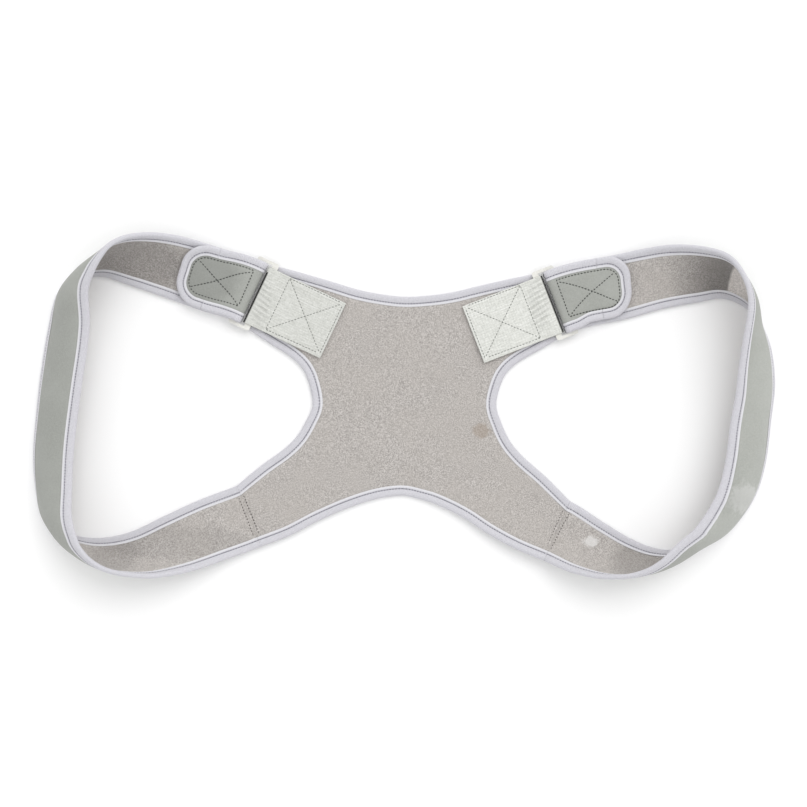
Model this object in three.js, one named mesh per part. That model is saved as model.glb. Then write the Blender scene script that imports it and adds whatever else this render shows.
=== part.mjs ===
// A posture corrector laid flat, lining up: an X-shaped back panel and straps that loop round to slot rings.
// Millimetres, +X to the right, +Y towards the neck edge, +Z up from the table that it lies on.
import * as THREE from "three";
import { mergeVertices } from "three/addons/utils/BufferGeometryUtils.js";

// Padded laminate and the folded tape on its edges
const LAMINATE = 2.4;
const TAPE_WALL = 0.6;
const TAPE_WIDTH = 8.5;
const GAP = 0.3;
const HALF_LAMINATE = LAMINATE / 2;
const TAPE_INSIDE = HALF_LAMINATE + GAP;
const TAPE_OUTSIDE = TAPE_INSIDE + TAPE_WALL;
const EDGE_INSET = TAPE_WALL + GAP;

// Straps and their folded-back tabs
const STRAP_WIDTH = 54;
const TAB_LENGTH = 60;
const TAB_CORNER = 16;
const TAB_SETTLE = 24;
const TAB_TAPE_OVERLAP = 6;
const TAB_CLEARANCE = 0.9;
const TIP_SLACK = 0.2;
const HOOK_INSET = 4;

// Arm loops: how far they reach out from the strap roots, and half of their depth on the table
const LOOP_ROOT_X = 137;
const LOOP_REACH = 169;
const LOOP_HALF_DEPTH = 110;

// Slot rings and the webbing that holds them. Past the ring's inner bar the two plies meet after PLY_MEET,
// the upper one is level after WEBBING_CLOSE, and both run level over the panel's tape for WEBBING_LEVEL
const RING_BAR = 5;
const RING_END = 2.6;
const RING_THICKNESS = 2;
const RING_CORNER = 2.2;
const SLOT_SIDE_CLEARANCE = 0.4;
const WEBBING_WIDTH = 50;
const WEBBING_THICKNESS = 1.2;
const WEBBING_LENGTH = 70;
const WEBBING_TAPER = 8;
const WEBBING_LEVEL = 32;
const WEBBING_CLOSE = 10;
const WEBBING_DIP = 2;
const WEBBING_BEND = 1;
const PLY_MEET = 3;
const FOLD_SPACE = 0.8;

// Back panel, measured from the origin
const PANEL_WAIST = 151.5;
const NECK_Y = 88.3;
const WAIST_Y = -75.6;
const ARMHOLE_Y = -1;
const ARM_WIDTH = 57.5;
const ARM_SETBACK = 8.7;

// Heights of the stack at the rings
const STRAP_FOLD_RADIUS = RING_THICKNESS / 2 + GAP + TAPE_OUTSIDE;
const WEBBING_FOLD_RADIUS = RING_THICKNESS / 2 + GAP + WEBBING_THICKNESS;
const SLOT_LENGTH = STRAP_FOLD_RADIUS + TAPE_OUTSIDE + FOLD_SPACE + WEBBING_FOLD_RADIUS;
const SLOT_WIDTH = STRAP_WIDTH + 2 * SLOT_SIDE_CLEARANCE;
const STRAP_LIFT_AT_RING = 0.8;
const RING_Z = TAPE_OUTSIDE + STRAP_LIFT_AT_RING + STRAP_FOLD_RADIUS;
const TAB_OFFSET = 2 * TAPE_OUTSIDE + TAB_CLEARANCE;
const HOOK_THICKNESS = TAB_OFFSET - LAMINATE - 2 * GAP;

// Between their rows the loops' sections and headings are evened out over these shares of the loop
const EVEN_SECTION = 0.045;
const EVEN_HEADING = 0.085;
const EVEN_FROM_END = 0.12;
const EVEN_WEIGHTS = [
  [-1, 0.12],
  [-0.5, 0.23],
  [0, 0.3],
  [0.5, 0.23],
  [1, 0.12],
];

// Each side's ring, strap seam and tab. x is the distance out from the middle, and the angles are in degrees
const SIDES = {
  left: {
    sign: -1,
    ringX: 123.6,
    ringY: 90.8,
    ringTilt: 25.3,
    seamX: 138,
    seamY: -67.4,
    seamTilt: 22.3,
    tabInset: 0.6,
    waistRows: "waistLeft",
  },
  right: {
    sign: 1,
    ringX: 123.7,
    ringY: 83,
    ringTilt: 21.3,
    seamX: 136.4,
    seamY: -80.1,
    seamTilt: 25,
    tabInset: 3,
    waistRows: "waistRight",
  },
};

// Sections of the arm loops, from the seam round to the ring.
// out, up: the inner edge on the table, as shares of LOOP_REACH and LOOP_HALF_DEPTH.
// root, lip: the section's angle at the inner and at the outer edge, in degrees; 0 lies flat, lining up.
// lean: how far the outer edge leans along the loop, as a share of STRAP_WIDTH.
const LOOP_COLUMNS = ["out", "up", "root", "lip", "lean"];
const LOOP_ROWS = {
  left: [
    [0.19, -0.72, 0, 16, 0],
    [0.36, -0.84, 0, 44, 0],
    [0.51, -0.95, 8, 78, -0.12],
    [0.64, -1.0, 20, 94, -0.25],
    [0.755, -1.0, 40, 107, -0.36],
    [0.862, -0.955, 68, 138, -0.4],
    [0.945, -0.815, 84, 165, -0.33],
    [0.978, -0.61, 95, 178, -0.12],
    [0.988, -0.36, 100, 181, 0.02],
    [0.973, -0.04, 106, 176, 0.08],
    [0.949, 0.28, 109, 175, 0.1],
    [0.915, 0.58, 110, 170, 0.22],
    [0.87, 0.82, 92, 154, 0.32],
    [0.775, 0.935, 66, 130, 0.46],
    [0.66, 0.955, 36, 92, 0.24],
    [0.53, 0.89, 14, 66, 0],
    [0.36, 0.8, 0, 32, -0.06],
    [0.17, 0.695, 0, 8, 0],
  ],
  right: [
    [0.16, -0.885, 0, 46, -0.07],
    [0.29, -1.005, 4, 80, -0.22],
    [0.41, -1.08, 24, 100, -0.38],
    [0.52, -1.095, 52, 116, -0.46],
    [0.63, -1.045, 74, 138, -0.44],
    [0.74, -0.97, 84, 156, -0.42],
    [0.83, -0.83, 92, 168, -0.36],
    [0.9, -0.65, 97, 176, -0.25],
    [0.943, -0.42, 98, 182, -0.16],
    [0.968, -0.12, 102, 177, -0.15],
    [0.988, 0.14, 110, 166, -0.09],
    [0.973, 0.39, 110, 154, -0.03],
    [0.925, 0.58, 94, 140, 0.1],
    [0.86, 0.72, 58, 124, 0.26],
    [0.745, 0.79, 30, 86, 0.1],
    [0.62, 0.76, 8, 64, -0.14],
    [0.46, 0.715, 0, 36, -0.2],
    [0.27, 0.635, 0, 8, -0.14],
  ],
};
const SEAM_LIP = { left: 6, right: 20 };

// Panel edges between a middle point and a corner, as shares of the straight line between them.
// along: the place on that line. bow: how far the edge lies out from it, away from the cloth being positive.
const EDGE_COLUMNS = ["along", "bow"];
const EDGE_ROWS = {
  neck: [[0.17, -0.022], [0.36, -0.03], [0.56, -0.018], [0.8, -0.006]],
  armholeUpper: [[0.2, -0.12], [0.34, -0.16], [0.5, -0.15], [0.78, -0.065]],
  armholeLower: [[0.14, -0.055], [0.3, -0.09], [0.46, -0.085], [0.72, -0.035]],
  waistLeft: [[0.1, -0.029], [0.22, -0.045], [0.4, -0.047], [0.6, -0.032], [0.8, -0.005]],
  waistRight: [[0.1, -0.022], [0.2, -0.036], [0.4, -0.033], [0.6, -0.004], [0.8, 0.008]],
};

// How finely the surfaces are cut
const STEPS_PER_ROW = 2;
const FOLD_STEPS = 6;
const TAB_STEPS = 7;
const TIP_CORNER_STEPS = 5;
const ARM_STEPS = 5;
const INNER_COLUMNS = 4;
const HOOK_STEPS = 3;
const RING_CURVE_STEPS = 4;
const WEBBING_CURVE_STEPS = 6;

// Steps for slopes and for measuring along a strap, and the least turn and skew that are reckoned with
const PROBE_U = 1e-3;
const PROBE_LENGTH = 0.05;
const MEASURED_STEPS = 400;
const MEASURED_SHARE = 0.3;
const LEAST_TURN = 1e-4;
const LEAST_SKEW = 0.4;
const KEYS_PER_MM = 1000;
const UP = new THREE.Vector3(0, 0, 1);

const degrees = THREE.MathUtils.degToRad;

function table(columns, rows) {
  return rows.map((row) => Object.fromEntries(columns.map((name, i) => [name, row[i]])));
}

function turned(angle) {
  return new THREE.Vector3(Math.cos(angle), Math.sin(angle), 0);
}

// Rises smoothly from 0 to 1
function rampUp(x) {
  const t = Math.min(Math.max(x, 0), 1);
  return t * t * (3 - 2 * t);
}

// Height of an edge that rests on the table when its section leaves at this angle
function restHeight(root) {
  const flat = Math.abs(Math.cos(root));
  const corner = TAPE_OUTSIDE * flat - EDGE_INSET * Math.sin(root);
  return Math.max(HALF_LAMINATE * flat, corner);
}

// A point of a curled section: reach along the table and rise above it, after this length of cloth
function curl(length, root, lip, width) {
  const turn = lip - root;
  if (Math.abs(turn) < LEAST_TURN) {
    return { reach: length * Math.cos(root), rise: length * Math.sin(root) };
  }
  const radius = width / turn;
  const angle = root + length / radius;
  return {
    reach: radius * (Math.sin(angle) - Math.sin(root)),
    rise: radius * (Math.cos(root) - Math.cos(angle)),
  };
}

// Catmull-Rom value and slope between four knots
function spline(a, b, c, d, t) {
  const k1 = (c - a) / 2;
  const k2 = a - 2.5 * b + 2 * c - d / 2;
  const k3 = 1.5 * (b - c) + (d - a) / 2;
  return { value: b + t * (k1 + t * (k2 + t * k3)), slope: k1 + t * (2 * k2 + 3 * t * k3) };
}

// The ring's frame on one side, drawn as if it were the right-hand side
function ringFrame(side) {
  const centre = new THREE.Vector3(side.ringX, side.ringY, 0);
  const inward = turned(Math.PI + degrees(side.ringTilt));
  const across = turned(Math.PI / 2 + degrees(side.ringTilt));
  return { centre, inward, across };
}

// All rows of one loop, with the seam and the ring as its ends and one guide row beyond each of them
function loopRows(name) {
  const side = SIDES[name];
  const ring = ringFrame(side);
  const rows = table(LOOP_COLUMNS, LOOP_ROWS[name]).map((row) => ({
    x: LOOP_ROOT_X + row.out * LOOP_REACH,
    y: row.up * LOOP_HALF_DEPTH,
    root: degrees(row.root),
    lip: degrees(row.lip),
    lean: row.lean * STRAP_WIDTH,
    lift: 0,
  }));
  const seam = { x: side.seamX, y: side.seamY, root: 0, lip: degrees(SEAM_LIP[name]), lean: 0, lift: 0 };
  const foldStart = ring.centre
    .clone()
    .addScaledVector(ring.inward, -SLOT_LENGTH / 2)
    .addScaledVector(ring.across, -STRAP_WIDTH / 2);
  const end = { x: foldStart.x, y: foldStart.y, root: 0, lip: 0, lean: 0, lift: STRAP_LIFT_AT_RING };
  rows.unshift(seam);
  rows.push(end);
  const guide = (from, beside, heading) => {
    const span = 2 * Math.hypot(beside.x - from.x, beside.y - from.y);
    return { ...beside, x: beside.x + heading.x * span, y: beside.y + heading.y * span };
  };
  const before = guide(seam, rows[1], turned(Math.PI - degrees(side.seamTilt)));
  const after = guide(end, rows[rows.length - 2], ring.inward);
  return [before, ...rows, after];
}

// A strap as a surface: at(u, length) with u from 0 at the seam to 1 at the ring, length from the inner edge
function strapSurface(name) {
  const rows = loopRows(name);
  const spans = rows.length - 3;
  const column = (key, u) => {
    const place = Math.min(Math.max(u, 0), 1) * spans;
    const i = Math.min(Math.floor(place), spans - 1);
    return spline(rows[i][key], rows[i + 1][key], rows[i + 2][key], rows[i + 3][key], place - i);
  };
  const evened = (u, spread, quantity) => {
    const span = spread * rampUp(Math.min(u, 1 - u) / EVEN_FROM_END);
    return EVEN_WEIGHTS.reduce((sum, [step, weight]) => sum + weight * quantity(u + step * span), 0);
  };
  const slopeAt = (u) => new THREE.Vector3(column("x", u).slope, column("y", u).slope, 0).normalize();
  const evenedColumn = (key, u) => evened(u, EVEN_SECTION, (place) => column(key, place).value);
  const at = (u, length) => {
    const headingX = evened(u, EVEN_HEADING, (place) => slopeAt(place).x);
    const headingY = evened(u, EVEN_HEADING, (place) => slopeAt(place).y);
    const heading = new THREE.Vector3(headingX, headingY, 0).normalize();
    const outward = new THREE.Vector3(heading.y, -heading.x, 0);
    const root = Math.max(evenedColumn("root", u), 0);
    const share = length / STRAP_WIDTH;
    const lean = evenedColumn("lean", u);
    const upright = Math.sqrt(STRAP_WIDTH ** 2 - lean ** 2);
    const { reach, rise } = curl(share * upright, root, evenedColumn("lip", u), upright);
    const height = restHeight(root) + column("lift", u).value + rise;
    return new THREE.Vector3(column("x", u).value, column("y", u).value, height)
      .addScaledVector(outward, reach)
      .addScaledVector(heading, lean * share ** 2);
  };
  return { at, spans };
}

// The two directions and the lining-side normal of a surface at a place on it
function slopes(at, u, v) {
  const du = at(Math.min(u + PROBE_U, 1), v).sub(at(Math.max(u - PROBE_U, 0), v));
  const dv = at(u, v + PROBE_LENGTH).sub(at(u, v - PROBE_LENGTH));
  return { along: du.normalize(), across: dv.normalize(), normal: dv.clone().cross(du).normalize() };
}

// Places across a width where a laminate is cut, from one tape's inner edge to the other's
function columnsBetweenTapes(low, high, lowSkew, highSkew) {
  const first = low + TAPE_WIDTH / lowSkew;
  const last = high - TAPE_WIDTH / highSkew;
  return Array.from({ length: INNER_COLUMNS + 1 }, (_, i) => first + ((last - first) * i) / INNER_COLUMNS);
}

// A section's laminate and tape guides. Under each tape the laminate runs straight, so the two stay parallel
function sectionOf(lowEdge, inner, highEdge) {
  const first = inner[0];
  const last = inner[inner.length - 1];
  const inset = (edge, next) => ({
    point: edge.point.clone().lerp(next.point, EDGE_INSET / TAPE_WIDTH),
    normal: edge.normal,
  });
  return {
    laminate: [inset(lowEdge, first), ...inner, inset(highEdge, last)],
    lowTape: [lowEdge, first],
    highTape: [highEdge, last],
  };
}

// One cross-section: for the laminate its points and normals, and for each edge the tape's two guide points
function station(at, u, low, high, lift, facing) {
  const probe = (v) => {
    const s = slopes(at, u, v);
    const point = at(u, v).addScaledVector(s.normal, lift);
    const skew = Math.max(s.along.clone().cross(s.across).length(), LEAST_SKEW);
    return { point, normal: s.normal.multiplyScalar(facing), skew };
  };
  const lowEdge = probe(low);
  const highEdge = probe(high);
  const inner = columnsBetweenTapes(low, high, lowEdge.skew, highEdge.skew).map(probe);
  return sectionOf(lowEdge, inner, highEdge);
}

// The strap's fold round the ring's outer bar
function foldStation(side, angle) {
  const ring = ringFrame(side);
  const radial = ring.inward.clone().multiplyScalar(Math.cos(angle)).addScaledVector(UP, Math.sin(angle));
  const middle = ring.centre.clone().addScaledVector(ring.inward, -SLOT_LENGTH / 2);
  middle.z = RING_Z;
  middle.addScaledVector(radial, STRAP_FOLD_RADIUS);
  const normal = radial.clone().negate();
  const probe = (v) => ({
    point: middle.clone().addScaledVector(ring.across, v - STRAP_WIDTH / 2),
    normal,
  });
  const inner = columnsBetweenTapes(0, STRAP_WIDTH, 1, 1).map(probe);
  return sectionOf(probe(0), inner, probe(STRAP_WIDTH));
}

// Where the strap lies at a distance back from the ring, as its u
function strapPlaces(surface) {
  const middle = STRAP_WIDTH / 2;
  const marks = [{ u: 1, distance: 0 }];
  let previous = surface.at(1, middle);
  for (let i = 1; i <= MEASURED_STEPS; i++) {
    const u = 1 - (i / MEASURED_STEPS) * MEASURED_SHARE;
    const point = surface.at(u, middle);
    marks.push({ u, distance: marks[i - 1].distance + point.distanceTo(previous) });
    previous = point;
  }
  return (distance) => {
    const i = Math.max(marks.findIndex((mark) => mark.distance >= distance), 1);
    const share = (distance - marks[i - 1].distance) / (marks[i].distance - marks[i - 1].distance);
    return THREE.MathUtils.lerp(marks[i - 1].u, marks[i].u, share);
  };
}

// A place over the strap, facing down as the tab's lining does
function probeOver(surface, u, length, lift) {
  const s = slopes(surface.at, u, length);
  const point = surface.at(u, length).addScaledVector(s.normal, lift);
  return { point, normal: s.normal.negate() };
}

// The tab lies on its strap: its height over the strap and its two edges at a distance from the fold
function tabAt(side, distance) {
  const overBar = RING_BAR + RING_THICKNESS / 2;
  const settled = rampUp((distance - overBar) / (TAB_SETTLE - overBar));
  const straight = TAB_LENGTH - TAB_CORNER;
  const past = Math.max(distance - straight, 0);
  const cut = TAB_CORNER - Math.sqrt(Math.max(TAB_CORNER ** 2 - past ** 2, 0));
  return {
    height: THREE.MathUtils.lerp(2 * STRAP_FOLD_RADIUS, TAB_OFFSET, settled),
    low: side.tabInset * settled + cut,
    high: STRAP_WIDTH - cut,
  };
}

// A closed mesh from corner points and the faces of three or four corners between them, turned to point out
function closedMesh(points, faces, mirrored) {
  const placed = points.map((point) => new THREE.Vector3(mirrored ? -point.x : point.x, point.y, point.z));
  const triangles = [];
  for (const [a, b, c, d] of faces) {
    triangles.push([a, b, c]);
    if (d !== undefined) {
      triangles.push([a, c, d]);
    }
  }
  let volume = 0;
  for (const [a, b, c] of triangles) {
    volume += placed[a].dot(placed[b].clone().cross(placed[c]));
  }
  const position = [];
  for (const [a, b, c] of triangles) {
    for (const i of volume > 0 ? [a, b, c] : [a, c, b]) {
      position.push(...placed[i].toArray());
    }
  }
  const geometry = new THREE.BufferGeometry();
  geometry.setAttribute("position", new THREE.Float32BufferAttribute(position, 3));
  const merged = mergeVertices(geometry, 1e-3);
  merged.computeVertexNormals();
  return merged;
}

// A row of closed outlines joined into one solid. The caps list the faces that close an outline,
// and crossed lists the sides of the outline whose quads are cut along their other diagonal
function loft(outlines, caps, mirrored, crossed = []) {
  const count = outlines[0].length;
  const quads = [];
  for (let s = 0; s + 1 < outlines.length; s++) {
    for (let i = 0; i < count; i++) {
      const j = (i + 1) % count;
      const quad = [s * count + i, s * count + j, (s + 1) * count + j, (s + 1) * count + i];
      quads.push(crossed.includes(i) ? [...quad.slice(1), quad[0]] : quad);
    }
  }
  const last = (outlines.length - 1) * count;
  for (const cap of caps) {
    quads.push([...cap].reverse());
    quads.push(cap.map((i) => last + i));
  }
  return closedMesh(outlines.flat(), quads, mirrored);
}

function offset(probe, height) {
  return probe.point.clone().addScaledVector(probe.normal, height);
}

// The outline of a sheet's section: along its upper face and back along its lower one
function sheetOutline(probes, halfThickness) {
  const upper = probes.map((probe) => offset(probe, halfThickness));
  const lower = probes.map((probe) => offset(probe, -halfThickness));
  return [...upper, ...lower.reverse()];
}

function sheetLoft(outlines, mirrored) {
  const count = outlines[0].length;
  const caps = [];
  for (let i = 0; i < count / 2 - 1; i++) {
    caps.push([i, i + 1, count - 2 - i, count - 1 - i]);
  }
  return loft(outlines, caps, mirrored);
}

// The outline of the folded tape: round the edge on the outside and back on the inside
function tapeOutline([edge, inner], slack) {
  const inside = TAPE_INSIDE + slack;
  const outside = TAPE_OUTSIDE + slack;
  const inward = inner.point.clone().sub(edge.point).divideScalar(TAPE_WIDTH);
  const place = (distance, height) => offset(edge, height).addScaledVector(inward, distance);
  const outerSkin = [
    offset(inner, outside),
    place(EDGE_INSET, outside),
    place(0, HALF_LAMINATE),
    place(0, -HALF_LAMINATE),
    place(EDGE_INSET, -outside),
    offset(inner, -outside),
  ];
  const innerSkin = [
    offset(inner, -inside),
    place(TAPE_WALL, -inside),
    place(TAPE_WALL, inside),
    offset(inner, inside),
  ];
  return [...outerSkin, ...innerSkin];
}

// The folded tape isn't convex, so its ends are closed between its outer and inner skins
const TAPE_CAPS = [[0, 1, 8, 9], [1, 2, 8], [2, 3, 7, 8], [3, 4, 7], [4, 5, 6, 7]];

// The outer skin's sides, which are cut along the other diagonal so that both skins stay parallel
const OUTER_SIDES = [0, 1, 2, 3, 4];

// The tape on a sheet's far edge is drawn the other way round, so that its facets are cut like the sheet's
function tapeLoft(guides, farEdge, mirrored, slack = 0) {
  const outlines = guides.map((guide) => tapeOutline(guide, slack));
  if (!farEdge) {
    return loft(outlines, TAPE_CAPS, mirrored, OUTER_SIDES);
  }
  const last = outlines[0].length - 1;
  const caps = TAPE_CAPS.map((cap) => cap.map((i) => last - i).reverse());
  const crossed = OUTER_SIDES.map((i) => last - 1 - i);
  return loft(outlines.map((outline) => outline.reverse()), caps, mirrored, crossed);
}

// Stations of one strap, from the seam round the loop, through the ring and along the tab
function strapStations(name) {
  const side = SIDES[name];
  const surface = strapSurface(name);
  const whereBack = strapPlaces(surface);
  const steps = surface.spans * STEPS_PER_ROW;
  const speed = (length) => surface.at(0, length).distanceTo(surface.at(PROBE_U, length)) / PROBE_U;
  const start = (1.5 * GAP) / Math.min(speed(0), speed(STRAP_WIDTH));
  const loop = [];
  for (let i = 0; i < steps; i++) {
    loop.push(station(surface.at, Math.max(i / steps, start), 0, STRAP_WIDTH, 0, 1));
  }
  const fold = [];
  for (let i = 0; i <= FOLD_STEPS; i++) {
    fold.push(foldStation(side, -Math.PI / 2 + (Math.PI * i) / FOLD_STEPS));
  }
  const tabStation = (distance) => {
    const tab = tabAt(side, distance);
    return station(surface.at, whereBack(distance), tab.low, tab.high, tab.height, -1);
  };
  const tapeEnd = TAB_LENGTH - TAB_CORNER - TAB_TAPE_OVERLAP;
  const tab = [];
  for (let i = 1; i <= TAB_STEPS; i++) {
    tab.push(tabStation((tapeEnd * i) / TAB_STEPS));
  }
  return { side, surface, whereBack, loop, fold, tab, tabStation, tapeEnd };
}

function strapGeometry(parts) {
  const { side, surface, whereBack, loop, fold, tab, tabStation } = parts;
  const straight = TAB_LENGTH - TAB_CORNER;
  const edges = tabAt(side, straight);
  const corner = TAB_CORNER - EDGE_INSET;
  const tip = [tabStation(straight)];
  for (let i = 1; i <= TIP_CORNER_STEPS; i++) {
    const angle = (Math.PI / 2) * (i / TIP_CORNER_STEPS);
    const u = whereBack(straight + corner * Math.sin(angle));
    const cut = corner * (1 - Math.cos(angle));
    tip.push(station(surface.at, u, edges.low + cut, edges.high - cut, edges.height, -1));
  }
  const all = [...loop, ...fold, ...tab, ...tip];
  return sheetLoft(all.map((one) => sheetOutline(one.laminate, HALF_LAMINATE)), side.sign < 0);
}

function strapTape(parts, edge) {
  const { side, loop, fold, tab } = parts;
  const guides = [...loop, ...fold, ...tab].map((one) => one[edge]);
  return tapeLoft(guides, edge === "highTape", side.sign < 0);
}

// The tape round the tab's tip follows its outline: up one edge, round both corners and back
function tabTipTape(parts) {
  const { side, surface, whereBack, tapeEnd } = parts;
  const low = side.tabInset;
  const high = STRAP_WIDTH;
  const straight = TAB_LENGTH - TAB_CORNER;
  const path = [[tapeEnd + GAP, low, 0], [straight, low, 0]];
  for (let i = 1; i <= TIP_CORNER_STEPS; i++) {
    const angle = (Math.PI / 2) * (i / TIP_CORNER_STEPS);
    const reach = straight + TAB_CORNER * Math.sin(angle);
    path.push([reach, low + TAB_CORNER * (1 - Math.cos(angle)), angle]);
  }
  for (let i = 0; i <= TIP_CORNER_STEPS; i++) {
    const angle = (Math.PI / 2) * (1 + i / TIP_CORNER_STEPS);
    const reach = straight + TAB_CORNER * Math.sin(angle);
    path.push([reach, high - TAB_CORNER * (1 + Math.cos(angle)), angle]);
  }
  path.push([tapeEnd + GAP, high, Math.PI]);
  const probe = (distance, length) => probeOver(surface, whereBack(distance), length, TAB_OFFSET);
  const guides = path.map(([distance, length, angle]) => {
    const inner = probe(distance - TAPE_WIDTH * Math.sin(angle), length + TAPE_WIDTH * Math.cos(angle));
    return [probe(distance, length), inner];
  });
  return tapeLoft(guides, false, side.sign < 0, TIP_SLACK);
}

// The hook patch lies between the strap and its tab and follows both
function hookGeometry(parts) {
  const { side, surface, whereBack } = parts;
  const places = columnsBetweenTapes(side.tabInset + HOOK_INSET, STRAP_WIDTH - HOOK_INSET, 1, 1);
  const start = TAB_SETTLE;
  const end = TAB_LENGTH - TAPE_WIDTH - HOOK_INSET;
  const outlines = [];
  for (let i = 0; i <= HOOK_STEPS; i++) {
    const u = whereBack(start + ((end - start) * i) / HOOK_STEPS);
    const probes = places.map((length) => probeOver(surface, u, length, TAB_OFFSET / 2));
    outlines.push(sheetOutline(probes, HOOK_THICKNESS / 2));
  }
  return sheetLoft(outlines, side.sign < 0);
}

// One edge of the panel between a middle point and a corner, as points of the drawing
function edgePoints(from, to, rows, outwardTurn) {
  const line = to.clone().sub(from);
  const outward = new THREE.Vector3(-line.y, line.x, 0).multiplyScalar(outwardTurn);
  const between = table(EDGE_COLUMNS, rows).map((row) =>
    from.clone().addScaledVector(line, row.along).addScaledVector(outward, row.bow),
  );
  return [from, ...between, to];
}

// The four edge pieces of one side of the panel, drawn as if it were the right-hand side
function panelSide(name) {
  const side = SIDES[name];
  const ring = ringFrame(side);
  const armEnd = ring.centre.clone().addScaledVector(ring.inward, ARM_SETBACK);
  const neckCorner = armEnd.clone().addScaledVector(ring.across, ARM_WIDTH / 2);
  const armCorner = armEnd.clone().addScaledVector(ring.across, -ARM_WIDTH / 2);
  const surface = strapSurface(name);
  const seamInner = surface.at(0, 0).setZ(0);
  const seamOuter = surface.at(0, STRAP_WIDTH).setZ(0);
  const neckMiddle = new THREE.Vector3(0, NECK_Y, 0);
  const waistMiddle = new THREE.Vector3(0, WAIST_Y, 0);
  const armhole = new THREE.Vector3(PANEL_WAIST / 2, ARMHOLE_Y, 0);
  return {
    lip: degrees(SEAM_LIP[name]),
    neck: edgePoints(neckMiddle, neckCorner, EDGE_ROWS.neck, 1),
    armholeUpper: edgePoints(armhole, armCorner, EDGE_ROWS.armholeUpper, -1),
    armholeLower: edgePoints(armhole, seamInner, EDGE_ROWS.armholeLower, 1),
    waist: edgePoints(waistMiddle, seamOuter, EDGE_ROWS[side.waistRows], -1),
  };
}

// A smooth curve through one piece, with its neighbour beyond the middle point as a guide
function edgeCurve(points, neighbour) {
  const guide = neighbour[1];
  const all = [guide, ...points];
  const curve = new THREE.CatmullRomCurve3(all, false, "centripetal");
  const first = 1 / (all.length - 1);
  return (t) => curve.getPoint(first + (1 - first) * t);
}

function flipped(points) {
  return points.map((point) => new THREE.Vector3(-point.x, point.y, point.z));
}

// The two arms of one side as surfaces: at(t, share) from the middle to the arm's end and across it
function armSurfaces(name) {
  const here = panelSide(name);
  const other = panelSide(name === "left" ? "right" : "left");
  const neck = edgeCurve(here.neck, flipped(other.neck));
  const waist = edgeCurve(here.waist, flipped(other.waist));
  const upper = edgeCurve(here.armholeUpper, here.armholeLower);
  const lower = edgeCurve(here.armholeLower, here.armholeUpper);
  const armSurface = (inner, outer, lipAtEnd, facing) => {
    const at = (t, share) => {
      const from = inner(t);
      const line = outer(t).sub(from);
      const lip = lipAtEnd * t * t + LEAST_TURN;
      const width = (line.length() * lip) / Math.sin(lip);
      const { reach, rise } = curl(share * width, 0, lip, width);
      return from.addScaledVector(line.normalize(), reach).setZ(TAPE_OUTSIDE + rise);
    };
    const width = (t) => inner(t).distanceTo(outer(t));
    return { at, width, facing };
  };
  return {
    upper: armSurface(upper, neck, 0, -1),
    lower: armSurface(lower, waist, here.lip, 1),
  };
}

// Cross-sections of one arm, from the middle out
function armStations(arm) {
  const stations = [];
  for (let i = 0; i <= ARM_STEPS; i++) {
    const t = i / ARM_STEPS;
    const width = arm.width(t);
    const at = (u, length) => arm.at(u, length / arm.width(u));
    stations.push(station(at, t, 0, width, 0, arm.facing));
  }
  return stations;
}

// Two sheets of corner points, one above and one below, closed by walls along the free edges
function thickened(cells, mirrored) {
  const keys = new Map();
  const probes = [];
  const indexOf = (probe) => {
    const key = probe.point.toArray().map((value) => Math.round(value * KEYS_PER_MM)).join(" ");
    if (!keys.has(key)) {
      keys.set(key, probes.length);
      probes.push(probe);
    }
    return keys.get(key);
  };
  const faces = cells.map((cell) => cell.map(indexOf));
  const upper = probes.map((probe) => offset(probe, HALF_LAMINATE));
  const lower = probes.map((probe) => offset(probe, -HALF_LAMINATE));
  const count = probes.length;
  const used = new Map();
  const quads = [];
  for (const face of faces) {
    quads.push([...face].reverse());
    quads.push(face.map((i) => i + count));
    face.forEach((a, i) => {
      const b = face[(i + 1) % 4];
      used.set(`${a} ${b}`, [a, b]);
    });
  }
  for (const [a, b] of used.values()) {
    if (!used.has(`${b} ${a}`)) {
      quads.push([a, b, b + count, a + count]);
    }
  }
  return closedMesh([...upper, ...lower], quads, mirrored);
}

function mirroredProbe(probe) {
  const point = new THREE.Vector3(-probe.point.x, probe.point.y, probe.point.z);
  return { point, normal: new THREE.Vector3(-probe.normal.x, probe.normal.y, probe.normal.z) };
}

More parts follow.
